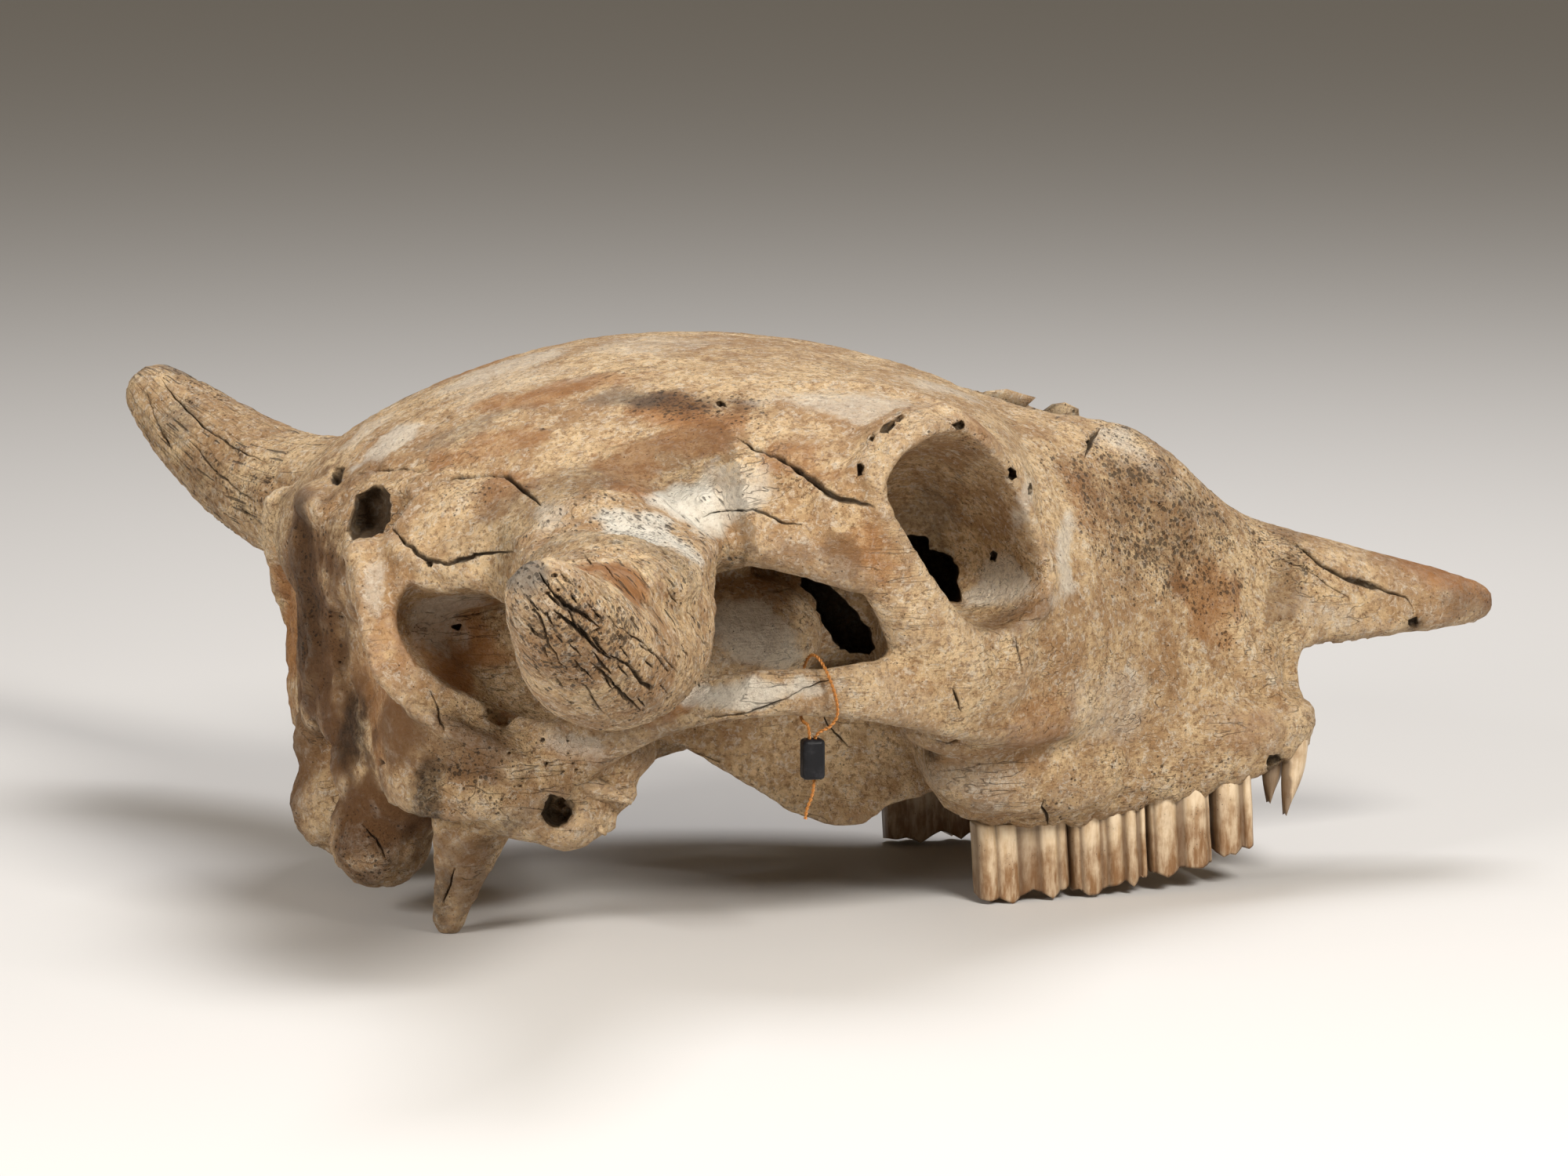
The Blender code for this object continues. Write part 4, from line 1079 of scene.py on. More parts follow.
# %% Holes
HOLES = [
    # depth in mm, size at the bottom, level where the plug begins, outline in the picture
    (22, 0.55, 0.3, [
        (449, 628), (462, 618), (480, 616), (494, 622), (500, 640), (498, 662), (490, 680),
        (470, 686), (450, 690), (440, 680), (442, 660), (446, 642),
    ]),
    (12, 0.6, 0.3, [
        (417, 594), (428, 589), (438, 594), (440, 608), (434, 618), (422, 616), (416, 606),
    ]),
    (34, 0.85, 0.8, [
        (1149, 684), (1166, 682), (1182, 682), (1184, 698), (1198, 703), (1212, 708),
        (1222, 722), (1222, 764), (1214, 773), (1203, 758), (1194, 744), (1180, 728),
        (1167, 713), (1156, 698),
    ]),
    (5, 0.6, 0.5, [(1262, 706), (1268, 702), (1272, 708), (1270, 716), (1263, 717)]),
    (9, 0.6, 0.4, [(1284, 600), (1290, 596), (1297, 600), (1298, 608), (1292, 613), (1285, 609)]),
    (7, 0.6, 0.4, [(1311, 617), (1316, 616), (1319, 623), (1317, 631), (1312, 630), (1309, 623)]),
    (8, 0.5, 0.3, [
        (1122, 552), (1127, 541), (1140, 530), (1156, 524), (1154, 533), (1142, 541),
        (1131, 554),
    ]),
    (5, 0.5, 0.3, [(1214, 541), (1224, 535), (1232, 540), (1228, 549), (1218, 550)]),
    (4, 0.5, 0.3, [(1382, 562), (1388, 560), (1390, 567), (1384, 570)]),
    (5, 0.6, 0.3, [(1107, 554), (1113, 553), (1116, 558), (1113, 563), (1107, 561)]),
    (5, 0.6, 0.3, [(1093, 592), (1098, 589), (1102, 596), (1100, 608), (1095, 610), (1092, 602)]),
    (6, 0.6, 0.3, [(914, 512), (920, 510), (926, 513), (926, 519), (919, 521), (914, 518)]),
    (28, 0.9, 0.6, [
        (1026, 730), (1036, 734), (1050, 742), (1074, 760), (1095, 783), (1113, 808),
        (1117, 826), (1112, 836), (1095, 836), (1074, 829), (1058, 812), (1044, 784),
        (1036, 758), (1020, 748),
    ]),
    (5, 0.6, 0.3, [(543, 718), (549, 716), (554, 720), (551, 725), (545, 724)]),
    (7, 0.6, 0.3, [(576, 798), (582, 795), (588, 798), (588, 804), (582, 806), (576, 804)]),
    (14, 0.7, 0.3, [
        (694, 1022), (704, 1014), (718, 1016), (728, 1024), (731, 1038), (724, 1050),
        (710, 1058), (698, 1054), (692, 1038),
    ]),
    (10, 0.7, 0.3, [
        (1614, 966), (1622, 960), (1632, 962), (1638, 968), (1636, 982), (1626, 988),
        (1616, 982),
    ]),
    (6, 0.6, 0.3, [(456, 972), (468, 964), (486, 966), (492, 974), (480, 982), (464, 982)]),
    (4, 0.5, 0.3, [(1796, 790), (1806, 786), (1812, 794), (1806, 806), (1796, 802)]),
]


def frayed(outline):
    """An outline with four times the points and a rough edge."""
    dense = []
    for (ax, ay), (bx, by) in zip(outline, outline[1:] + outline[:1]):
        for step in range(4):
            px, py = ax + (bx - ax) * step / 4, ay + (by - ay) * step / 4
            rough = noise.noise_vector((px * 0.11, py * 0.11, 0.0)) * 4.6
            dense.append((px + rough.x, py + rough.y))
    return dense


def plug(depth, bottom, level, outline):
    """A closed plug through an outline of the picture, along the line of sight.

    The level says how far back in the outline's own depths the plug begins: 0 at the
    nearest of them, almost 1 at the farthest.
    """
    hits = [surface.spot(px, py)[0] for px, py in outline]
    hits = [to_survey(place) for place in hits if place is not None]
    reach = sorted((place - to_survey(camera.location)).length for place in hits)
    near = reach[int(len(reach) * level)]
    outline = frayed(outline)
    origin = to_survey(camera.location)
    corners = [origin + sight(px, py) * near for px, py in outline]
    middle = sum(corners, Vector()) / len(corners)
    rings = []
    steps = (
        (-14, 1.04), (-3, 1.0), (depth * 0.35, 0.97), (depth * 0.75, (1 + bottom) / 2), (depth, bottom),
    )
    for way, size in steps:
        centre = middle + look * way
        ring = []
        for corner in corners:
            place = centre + (corner - middle) * size
            ring.append(place + noise.noise_vector(place / 3.0) * 0.35)
        rings.append(ring)
    return sweep("hole", rings, 0)


for depth, bottom, level, outline in HOLES:
    cutters.append(plug(depth, bottom, level, outline))
print("holes:", len(HOLES))

# %% [markdown]
# The root of the nose has lost its roof, behind a near edge that still stands. A swept
# block takes it off along a ragged oval that reaches a little further on the far side.
# Two loose plates that still stand up behind the edge are made further on.

# %% The broken root of the nose
# X and Z of the broken edge's low line, then how far the break reaches to either side
BREAK_LINE = [
    (72, 168), (78, 164), (92, 161), (104, 160), (115, 157), (130, 152), (142, 140), (154, 126),
]
BREAK_MIDDLE_Y, BREAK_NEAR, BREAK_FAR = 6, 30, 34
BREAK_TOP = 204
BREAK_STEPS = 3
break_rear, break_front = BREAK_LINE[0][0], BREAK_LINE[-1][0]
rings = []
for place in range((len(BREAK_LINE) - 1) * BREAK_STEPS + 1):
    here, part = place // BREAK_STEPS, place % BREAK_STEPS
    (ax, az), (bx, bz) = BREAK_LINE[here], BREAK_LINE[min(here + 1, len(BREAK_LINE) - 1)]
    x = ax + (bx - ax) * part / BREAK_STEPS
    low = az + (bz - az) * part / BREAK_STEPS + 2.0 * noise.noise((x * 0.3, 4.0, 0.0))
    wide = math.sin(math.pi * (0.04 + 0.92 * (x - break_rear) / (break_front - break_rear))) ** 0.6
    inner = BREAK_MIDDLE_Y - BREAK_NEAR * wide + 4.0 * noise.noise((x * 0.16, 9.0, 0.0))
    outer = BREAK_MIDDLE_Y + BREAK_FAR * wide + 9.0 * noise.noise((x * 0.14, 17.0, 0.0))
    rings.append([(x, inner, low), (x, outer, low - 3), (x, outer + 2, BREAK_TOP), (x, inner - 1, BREAK_TOP)])
cutters.append(sweep("nose break", rings, 0))

# %% [markdown]
# Small pits are egg shaped bodies scattered by chance inside a few regions. Cutters that
# touch each other would confuse the Boolean, so they are dealt out in batches whose
# bodies lie apart.

# %% Pits
PITS = [
    # how many, size in mm, region: middle and half axes in picture points
    (46, 0.85, (1470, 650), (95, 80)),
    (34, 0.8, (820, 690), (60, 40)),
    (34, 1.0, (730, 800), (70, 70)),
    (22, 1.0, (850, 860), (40, 50)),
    (16, 0.9, (420, 780), (24, 90)),
    (14, 0.9, (900, 510), (70, 16)),
    (14, 0.8, (300, 600), (80, 60)),
    (12, 0.9, (700, 980), (60, 40)),
    (10, 0.8, (1660, 700), (70, 20)),
]
chance = np.random.default_rng(5)


def pit(place, normal, size):
    """One small egg shaped pit that goes in along the skin's normal."""
    bm = bmesh.new()
    turn = normal.to_track_quat("Z", "Y")
    stretch = Vector((size, size * chance.uniform(0.6, 1.0), size * 1.7)) * MM
    bmesh.ops.create_icosphere(
        bm, subdivisions=1, radius=1.0, matrix=Matrix.LocRotScale(place, turn, stretch),
    )
    return put("pit", bm)


for count, size, (middle_x, middle_y), (half_x, half_y) in PITS:
    for _ in range(count):
        turn, out = chance.uniform(0, math.tau), math.sqrt(chance.uniform(0, 1))
        place, normal = surface.spot(
            middle_x + math.cos(turn) * out * half_x, middle_y + math.sin(turn) * out * half_y,
        )
        if place is not None:
            cutters.append(pit(place, normal, size * chance.uniform(0.5, 1.25)))
print("cutters in all:", len(cutters))


def box_of(thing):
    """The corners of an object's box, a little enlarged."""
    places = np.empty(len(thing.data.vertices) * 3)
    thing.data.vertices.foreach_get("co", places)
    places = places.reshape(-1, 3)
    return places.min(axis=0) - 0.1 * MM, places.max(axis=0) + 0.1 * MM


batches = []
for cutter in cutters:
    low, high = box_of(cutter)
    for batch in batches:
        if all(np.any(high < other_low) or np.any(low > other_high) for _, other_low, other_high in batch):
            batch.append((cutter, low, high))
            break
    else:
        batches.append([(cutter, low, high)])
print("batches:", [len(batch) for batch in batches])

# %% Take the cutters out
old_skin = Surface(bone)
for batch in batches:
    bm = bmesh.new()
    for cutter, _, _ in batch:
        bm.from_mesh(cutter.data)
        bpy.data.objects.remove(cutter, do_unlink=True)
    bmesh.ops.recalc_face_normals(bm, faces=bm.faces)
    tool = put("tool", bm)
    cut(bone, tool)
    bake(bone)
    bpy.data.objects.remove(tool, do_unlink=True)
print("bone faces after the cuts:", len(bone.data.polygons))

# %% [markdown]
# The cuts set a few crumbs free, and they go. Beside the near ear opening the bone ends
# in three broken spikes. The two loose plates are thin ragged slabs. All are joined to the bone,
# and then every point is held inside the box of the solid skull.

# %% Crumbs, spikes and loose plates
SPIKES = [
    ((-106, -106, 68), (-92, -110, 78), 4.5),
    ((-104, -107, 60), (-85, -111, 51), 5.5),
    ((-105, -106, 54), (-94, -110, 40), 4.5),
]
PLATES = [
    (28.5, [(77, 156), (79, 172), (85, 174), (93, 174.5), (99, 172.5), (104, 171), (99, 167), (97, 156)]),
    (27.0, [(104, 152), (106, 166), (110, 168.5), (115, 169), (120, 166.5), (121, 152)]),
]
bm = bmesh.new()
bm.from_mesh(bone.data)
todo = set(bm.verts)
bodies = []
while todo:
    body = [todo.pop()]
    for corner in body:
        for edge in corner.link_edges:
            other = edge.other_vert(corner)
            if other in todo:
                todo.remove(other)
                body.append(other)
    bodies.append(body)
bodies.sort(key=len)
crumbs = [corner for body in bodies[:-1] for corner in body]
bmesh.ops.delete(bm, geom=crumbs, context="VERTS")
print("crumbs removed:", len(bodies) - 1)
for base, tip, thick in SPIKES:
    base, tip = Vector(base), Vector(tip)
    way = (tip - base).normalized()
    side = way.orthogonal().normalized()
    rings = []
    for share, size in ((0, 1.0), (0.3, 0.8), (0.6, 0.55), (0.85, 0.3), (1.0, 0.1)):
        ring = []
        for corner in range(8):
            turn = math.tau * corner / 8
            out = side * math.cos(turn) + way.cross(side) * math.sin(turn)
            spot = base + (tip - base) * share + out * thick * size
            ring.append(spot + out * noise.noise(spot * 0.5) * thick * 0.3)
        rings.append(ring)
    spike = sweep("spike", rings, 0)
    bm.from_mesh(spike.data)
    bpy.data.objects.remove(spike, do_unlink=True)
for middle_y, outline in PLATES:
    rings = []
    for side_y, size in ((-1.3, 0.94), (-0.8, 1.0), (0.8, 1.0), (1.3, 0.94)):
        centre = sum((Vector((x, 0, z)) for x, z in outline), Vector()) / len(outline)
        ring = []
        for x, z in outline:
            place = centre + (Vector((x, 0, z)) - centre) * size
            ring.append((place.x, middle_y + side_y + (place.x - centre.x) * 0.05, place.z))
        rings.append(ring)
    plate = sweep("plate", rings, 0)
    bm.from_mesh(plate.data)
    bpy.data.objects.remove(plate, do_unlink=True)
bm.to_mesh(bone.data)
bm.free()
places = Surface(bone).points
skull_low, skull_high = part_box("skull")
held = np.clip(places, skull_low, skull_high)
bone.data.vertices.foreach_set("co", held.ravel())
bone.data.update()
print("moved into the box:", int(np.any(held != places, axis=1).sum()))

# %% [markdown]
# ## What the skin remembers
# The shader needs to know more than a place: how deep in a crack it is, how far out on a
# horn, how hollow or proud the skin is, where years of sun, rust coloured soil and damp
# left their marks, and where shade and light are painted on. We measure or paint these
# once and keep them on the points of the mesh.

# %% Depth and hollows
skin = Surface(bone)
count = len(skin.points)
deep = np.zeros(count)
for place, point in enumerate(skin.points.tolist()):
    nearest, outward, _, distance = old_skin.tree.find_nearest(point)
    if (Vector(point) - nearest).dot(outward) < 0:
        deep[place] = distance / MM
deep_share = smooth_share(0.15, 1.6, deep)
print("points below the old skin:", int((deep > 0.15).sum()))

ends = np.empty(len(bone.data.edges) * 2, dtype=np.int64)
bone.data.edges.foreach_get("vertices", ends)
ends = ends.reshape(-1, 2)
links = np.bincount(ends.ravel(), minlength=count)[:, None]


def smoothed(values, times):
    """Values of the points, averaged with their neighbours again and again."""
    for _ in range(times):
        total = np.zeros_like(values)
        for axis in range(values.shape[1]):
            total[:, axis] = np.bincount(ends[:, 0], values[ends[:, 1], axis], count)
            total[:, axis] += np.bincount(ends[:, 1], values[ends[:, 0], axis], count)
        values = values * 0.5 + total / links * 0.5
    return values


# How hollow or proud the skin is: the colour darkens the hollows as painted shade and lightens the proud
# ridges a little as painted highlight
fine_hollow = np.einsum("ij,ij->i", smoothed(skin.points, 6) - skin.points, skin.normals) / MM
broad_hollow = np.einsum("ij,ij->i", smoothed(skin.points, 60) - skin.points, skin.normals) / MM
hollow = smooth_share(0.05, 0.5, fine_hollow) * 0.6 + smooth_share(0.3, 2.5, broad_hollow) * 0.6
proud = smooth_share(0.05, 0.5, -fine_hollow) * 0.6 + smooth_share(0.3, 2.5, -broad_hollow) * 0.6
horn_share, grain = grain_space(skin.points)

# %% [markdown]
# Each kind of mark has its dabs of paint: strength, middle and half axes in picture
# points, and a tilt in degrees. A dab reaches round the form, and a noise frays
# its edge. The hidden left side gets the same dabs mirrored, weaker and frayed in another
# way, because nothing shows what is there.

# %% Dabs of weathering, painted shade and painted light
DABS = {
    # White dabs are sun bleaching, and also painted light: those in the brain case and low in the orbit
    # lighten places that lie in shade, and the streaks on the arch and the ridges are painted highlights
    "white": [
        (1.0, 822, 682, 70, 40, 28), (1.0, 880, 650, 50, 44, -30), (0.7, 935, 640, 44, 30, 0),
        (0.6, 500, 562, 60, 22, -25), (0.5, 640, 470, 120, 16, -18),
        (0.5, 1080, 515, 110, 26, 6), (0.5, 1200, 495, 60, 20, 18), (0.6, 1358, 700, 16, 90, 6),
        (0.8, 960, 885, 120, 22, -4), (0.5, 730, 950, 50, 26, 0), (0.3, 1700, 800, 70, 16, 16),
        (0.5, 1300, 655, 16, 60, 24), (0.5, 1440, 570, 60, 26, 30),
        (0.4, 1700, 780, 60, 24, 16), (0.5, 940, 620, 60, 30, 10), (0.5, 700, 660, 40, 30, 0),
        (0.5, 560, 780, 60, 60, 40), (0.4, 1230, 1000, 80, 40, 10),
        (0.4, 820, 440, 140, 16, -4), (0.4, 1420, 900, 90, 60, 0), (0.5, 480, 740, 16, 60, 8),
        (0.7, 960, 805, 70, 50, 0), (0.6, 1275, 745, 50, 44, 0),
    ],
    "ochre": [
        (0.6, 800, 600, 60, 50, 40), (0.9, 800, 745, 66, 34, 15), (0.8, 870, 530, 90, 28, 8),
        (0.8, 575, 850, 80, 18, 42), (0.9, 1850, 735, 90, 24, 18),
        (0.7, 1720, 690, 110, 16, 15), (0.8, 862, 905, 50, 16, -30),
        (0.6, 1540, 760, 60, 70, 0), (0.5, 1020, 590, 60, 30, 20), (0.6, 880, 560, 60, 30, 0),
        (0.5, 1330, 930, 60, 50, 0), (0.5, 1690, 830, 50, 30, -20),
        (0.5, 620, 570, 90, 24, -12), (0.5, 650, 620, 40, 30, 0), (0.5, 1250, 545, 50, 20, 30),
        (0.5, 1110, 700, 36, 50, -30), (0.5, 480, 830, 14, 50, 10), (0.5, 720, 960, 50, 20, 0),
        (0.4, 1130, 440, 100, 14, 8), (0.6, 700, 500, 120, 14, -12),
        (0.4, 1390, 640, 50, 60, 0), (0.4, 1580, 930, 50, 40, 0), (0.8, 600, 810, 60, 50, 40),
        (0.5, 395, 800, 50, 120, 0), (0.8, 372, 800, 30, 100, 0),
    ],
    # Dirt dabs are soil and dirt, and also painted shade in the orbit, low in the temporal fossa, at the dark
    # opening behind the orbit and under the palate
    "dirt": [
        (0.55, 1480, 660, 140, 110, 25), (0.7, 880, 515, 80, 22, 4),
        (0.4, 740, 830, 90, 80, 30), (0.7, 1070, 720, 34, 50, -30), (0.8, 380, 640, 50, 50, 0),
        (1.0, 392, 800, 75, 170, 0), (1.0, 430, 950, 70, 80, 0), (0.8, 520, 940, 60, 40, 30),
        (1.0, 470, 1040, 90, 90, 0), (0.7, 590, 1110, 50, 80, 0), (0.4, 690, 1030, 70, 50, 0),
        (0.7, 600, 960, 70, 50, 20), (0.35, 1200, 640, 80, 90, 0),
        (0.3, 1330, 800, 60, 20, -20), (0.4, 1150, 990, 60, 50, 0), (0.5, 260, 600, 80, 70, 30),
        (0.5, 640, 640, 50, 40, 20), (0.5, 1640, 680, 40, 20, 20), (0.6, 1870, 770, 50, 30, 0),
        (0.5, 1010, 700, 60, 20, 10), (0.4, 1250, 930, 60, 20, 0), (0.3, 850, 880, 50, 40, 0),
        (0.5, 460, 600, 40, 30, 0), (0.6, 1290, 790, 60, 20, -15), (0.6, 1630, 760, 34, 60, 10),
    ],
    # Dark dabs are dark stain, and also painted shadow beside and below the near condyle, in the holes in the
    # orbit and on the snout, and on the broken premolar
    "dark": [
        (0.9, 545, 1020, 22, 44, 12), (0.9, 452, 940, 26, 60, 10), (0.9, 1803, 796, 18, 12, 0),
        (0.7, 386, 660, 20, 30, 0), (0.8, 548, 1010, 18, 40, 0), (0.6, 385, 780, 40, 100, 4),
        (0.35, 442, 800, 12, 90, 8), (0.8, 1190, 960, 20, 10, 0), (0.6, 560, 1150, 14, 40, 10),
        (0.8, 1625, 975, 18, 16, 0), (0.5, 820, 510, 50, 10, 4), (0.5, 640, 1060, 60, 14, -30),
        (0.6, 1195, 700, 30, 30, 0),
    ],
    "grey": [
        (0.9, 668, 732, 36, 20, 0), (0.5, 790, 508, 60, 16, 4), (0.3, 700, 780, 50, 40, 30),
        (0.4, 590, 550, 80, 16, -20), (0.4, 1180, 660, 70, 50, 0), (0.4, 230, 540, 50, 40, 40),
    ],
    "pores": [
        (1.0, 1485, 660, 160, 120, 25), (0.9, 890, 520, 90, 26, 4),
        (0.9, 740, 810, 110, 90, 30), (0.8, 840, 680, 70, 50, 20), (0.6, 1620, 700, 70, 40, 20),
        (0.5, 400, 760, 50, 120, 0), (0.5, 620, 990, 80, 60, 0), (0.4, 1240, 560, 80, 30, 20),
        (0.5, 300, 610, 130, 60, 30), (0.4, 620, 640, 60, 40, 0),
        (0.4, 1450, 990, 130, 40, -12), (0.5, 460, 1080, 60, 50, 0),
    ],
}
fray = noise_of((skin.points - np.array(SHIFT)) / MM, 13.0, 41.3)
fray_far = noise_of((skin.points - np.array(SHIFT)) / MM, 22.0, 67.9)
marks = {kind: np.zeros(count) for kind in DABS}
to_right, to_up, to_look = (np.array(axis) for axis in (picture_right, picture_up, look))


def dab(kind, strength, middle, wide, high, tilt, points, frayed):
    """Raise a kind of mark inside a frayed egg round a spot."""
    turn = math.radians(tilt)
    offset = (points - middle) / MM
    across = offset @ to_right
    up = -(offset @ to_up)
    first = (across * math.cos(turn) + up * math.sin(turn)) / wide
    second = (up * math.cos(turn) - across * math.sin(turn)) / high
    third = (offset @ to_look) / max(wide, high) / 1.3
    distance = np.sqrt(first ** 2 + second ** 2 + third ** 2) + frayed * 0.6
    marks[kind] = np.maximum(marks[kind], strength * (1 - smooth_share(0.45, 1.35, distance)))


mirrored = skin.points * np.array((1.0, -1.0, 1.0))
FAR_SHARE = 0.75
missed = 0
for kind, rows in DABS.items():
    for strength, px, py, wide, high, tilt in rows:
        middle, _ = skin.spot(px, py)
        if middle is None:
            missed += 1
            continue
        size = (wide / PIXELS_PER_MM, high / PIXELS_PER_MM)
        dab(kind, strength, np.array(middle), *size, tilt, skin.points, fray)
        dab(kind, strength * FAR_SHARE, np.array(middle), *size, tilt, mirrored, fray_far)
print("dabs:", sum(len(rows) for rows in DABS.values()), "missed:", missed)

# %% Write the marks on the mesh
def keep(name, values):
    """Store one value per point, or one vector, as a named attribute."""
    kind = "FLOAT" if values.ndim == 1 else "FLOAT_VECTOR"
    layer = bone.data.attributes.new(name, kind, "POINT")
    layer.data.foreach_set("value" if values.ndim == 1 else "vector", values.ravel())


keep("horn", horn_share)
keep("grain", grain)
keep("deep", deep_share)
keep("hollow", np.clip(hollow, 0, 1))
keep("proud", np.clip(proud, 0, 1))
for kind, values in marks.items():
    keep(kind, values)
shade_smooth(bone)
print("attributes:", [layer.name for layer in bone.data.attributes if not layer.name.startswith(".")])

# %% [markdown]
# ## The thread
# A thin copper coloured thread, twisted from two plies, is looped round the near cheek
# arch. It leaves the top of the seal, goes up behind the arch, over it, down its outer
# face, back through the seal and ends in a short tail. Its route is a smooth curve
# through a few spots. The twist is real: the section is a figure of eight that turns as
# it travels along the route.

# %% Route of the thread
THREAD_ROUTE = [
    (-28.6, -141.0, 74.2), (-28.7, -141.0, 78.0), (-28.9, -139.9, 81.0), (-29.0, -135.5, 81.2),
    (-28.6, -130.0, 82.2), (-28.2, -126.9, 86.5), (-27.6, -126.0, 92.5), (-27.0, -126.9, 98.5),
    (-26.2, -130.2, 103.2), (-25.2, -135.5, 104.8), (-23.8, -140.4, 102.6), (-21.6, -143.1, 96.8),
    (-19.6, -143.5, 90.0), (-19.2, -143.2, 84.4), (-21.6, -142.6, 80.6), (-25.4, -141.6, 78.4),
    (-26.7, -141.0, 75.6), (-26.7, -141.0, 70.0), (-26.9, -141.0, 62.0), (-27.6, -141.1, 56.5),
    (-29.6, -141.4, 51.5), (-30.2, -141.4, 48.0),
]
PLY_RADIUS = 0.36
TWIST_LENGTH = 3.4


def smooth_route(spots, spacing):
    """Points at an even spacing on a smooth curve through the route's own points."""
    dense = []
    guides = [Vector(spot) for spot in spots]
    guides = [guides[0] * 2 - guides[1]] + guides + [guides[-1] * 2 - guides[-2]]
    for place in range(1, len(guides) - 2):
        before, start, end, after = guides[place - 1:place + 3]
        for step in range(12):
            t = step / 12
            dense.append(0.5 * (
                start * 2 + (end - before) * t
                + (before * 2 - start * 5 + end * 4 - after) * t ** 2
                + (start * 3 - before - end * 3 + after) * t ** 3
            ))
    dense.append(guides[-2])
    length = sum((b - a).length for a, b in zip(dense, dense[1:]))
    count = max(2, round(length / spacing))
    even = [dense[0]]
    walked = 0.0
    for a, b in zip(dense, dense[1:]):
        step = (b - a).length
        while len(even) < count and walked + step >= length * len(even) / count:
            even.append(a + (b - a) * ((length * len(even) / count - walked) / step))
        walked += step
    even.append(dense[-1])
    return even, length


def thread_section(turn, twist):
    """How far the skin of two touching plies lies from the middle, in one direction."""
    lobe = abs(math.cos(turn - twist))
    return PLY_RADIUS * (lobe + math.sqrt(max(0.0, 1 - (1 - lobe * lobe) * 0.98))) * 0.82 + 0.06


thread_line, thread_length = smooth_route(THREAD_ROUTE, 0.28)
frame_side = Vector((0, 1, 0))
thread_rings = []
for place, spot in enumerate(thread_line):
    ahead = thread_line[min(place + 1, len(thread_line) - 1)]
    behind = thread_line[max(place - 1, 0)]
    along = (ahead - behind).normalized()
    frame_side = (frame_side - along * frame_side.dot(along)).normalized()
    other_side = along.cross(frame_side)
    twist = math.tau * place * 0.28 / TWIST_LENGTH
    ring = []
    for step in range(12):
        turn = math.tau * step / 12
        reach = thread_section(turn, twist)
        ring.append(spot + (frame_side * math.cos(turn) + other_side * math.sin(turn)) * reach)
    thread_rings.append(ring)
thread = sweep("copper_thread", thread_rings, 0)
print("thread length, mm:", round(thread_length, 1), "rings:", len(thread_rings))

# %% [markdown]
# The seal is a small pressed bead, nearly black, with flat faces and rounded edges. A
# narrow slot runs through it for the thread.

# %% Seal bead
BEAD_SIZE = (8.0, 6.4, 14.3)
BEAD_BORE = (4.3, 2.5)


def seal_block(name, centre, size, chamfer):
    """A box, with rounded edges if a chamfer is given."""
    bm = bmesh.new()
    place = Matrix.LocRotScale(to_frame(centre), None, Vector(size) * MM)
    bmesh.ops.create_cube(bm, size=1.0, matrix=place)
    if chamfer:
        bmesh.ops.bevel(
            bm, geom=list(bm.edges), offset=chamfer * MM, segments=3, profile=0.5,
            affect="EDGES", material=-1,
        )
    return put(name, bm)


bead = seal_block("seal_bead_visual", BEAD_CENTRE, BEAD_SIZE, 1.5)
slot = seal_block("slot", BEAD_CENTRE, (*BEAD_BORE, BEAD_SIZE[2] + 2), 0)
cut(bead, slot)
bake(bead)
bpy.data.objects.remove(slot, do_unlink=True)
bead.data.materials.clear()
print("bead faces:", len(bead.data.polygons))

# %% [markdown]
# ## Colour and fine grain
# Old bone is cream where it is clean, ochre where soil stained it, grey where algae and
# dirt sit in its pores, and chalk white where the sun has bleached it. The colour also
# holds painted light: painted shade in cracks, holes, pores, hollows and some dark
# patches, and painted highlights on ridges and in places that lie in shade. One node
# group gives the grain and its height for the bump, and another mixes the colours. The
# helpers keep each step to one line, and always work on the tree that is being built.

# %% Helpers for node groups
def group(name, ins, outs):
    """A node group with value, vector or colour sockets."""
    tree = bpy.data.node_groups.new(name, "ShaderNodeTree")
    kinds = {"value": "NodeSocketFloat", "vector": "NodeSocketVector", "colour": "NodeSocketColor"}
    for label, kind in ins:
        tree.interface.new_socket(name=label, in_out="INPUT", socket_type=kinds[kind])
    for label, kind in outs:
        tree.interface.new_socket(name=label, in_out="OUTPUT", socket_type=kinds[kind])
    entry = tree.nodes.new("NodeGroupInput")
    leave = tree.nodes.new("NodeGroupOutput")
    return tree, entry.outputs, leave.inputs


def feed(socket, value):
    """Link a socket to an output, or set it to a constant."""
    if isinstance(value, bpy.types.NodeSocket):
        tree.links.new(value, socket)
    else:
        socket.default_value = value


def sums(operation, first, second=0.0):
    """A maths node in the tree that is being built."""
    node = tree.nodes.new("ShaderNodeMath")
    node.operation = operation
    feed(node.inputs[0], first)
    feed(node.inputs[1], second)
    return node.outputs[0]


times = partial(sums, "MULTIPLY")
plus = partial(sums, "ADD")
minus = partial(sums, "SUBTRACT")
most = partial(sums, "MAXIMUM")
least = partial(sums, "MINIMUM")
absolute = partial(sums, "ABSOLUTE")


def scaled(vector, factors):
    """A vector times factors."""
    node = tree.nodes.new("ShaderNodeVectorMath")
    node.operation = "MULTIPLY"
    feed(node.inputs[0], vector)
    node.inputs[1].default_value = factors
    return node.outputs[0]


def cloud(vector, scale, detail=3.0, rough=0.55, shift=0.0):
    """A noise texture."""
    node = tree.nodes.new("ShaderNodeTexNoise")
    feed(node.inputs["Vector"], vector)
    node.inputs["Scale"].default_value = scale
    node.inputs["Detail"].default_value = detail
    node.inputs["Roughness"].default_value = rough
    node.inputs["Distortion"].default_value = shift
    return node.outputs[0]


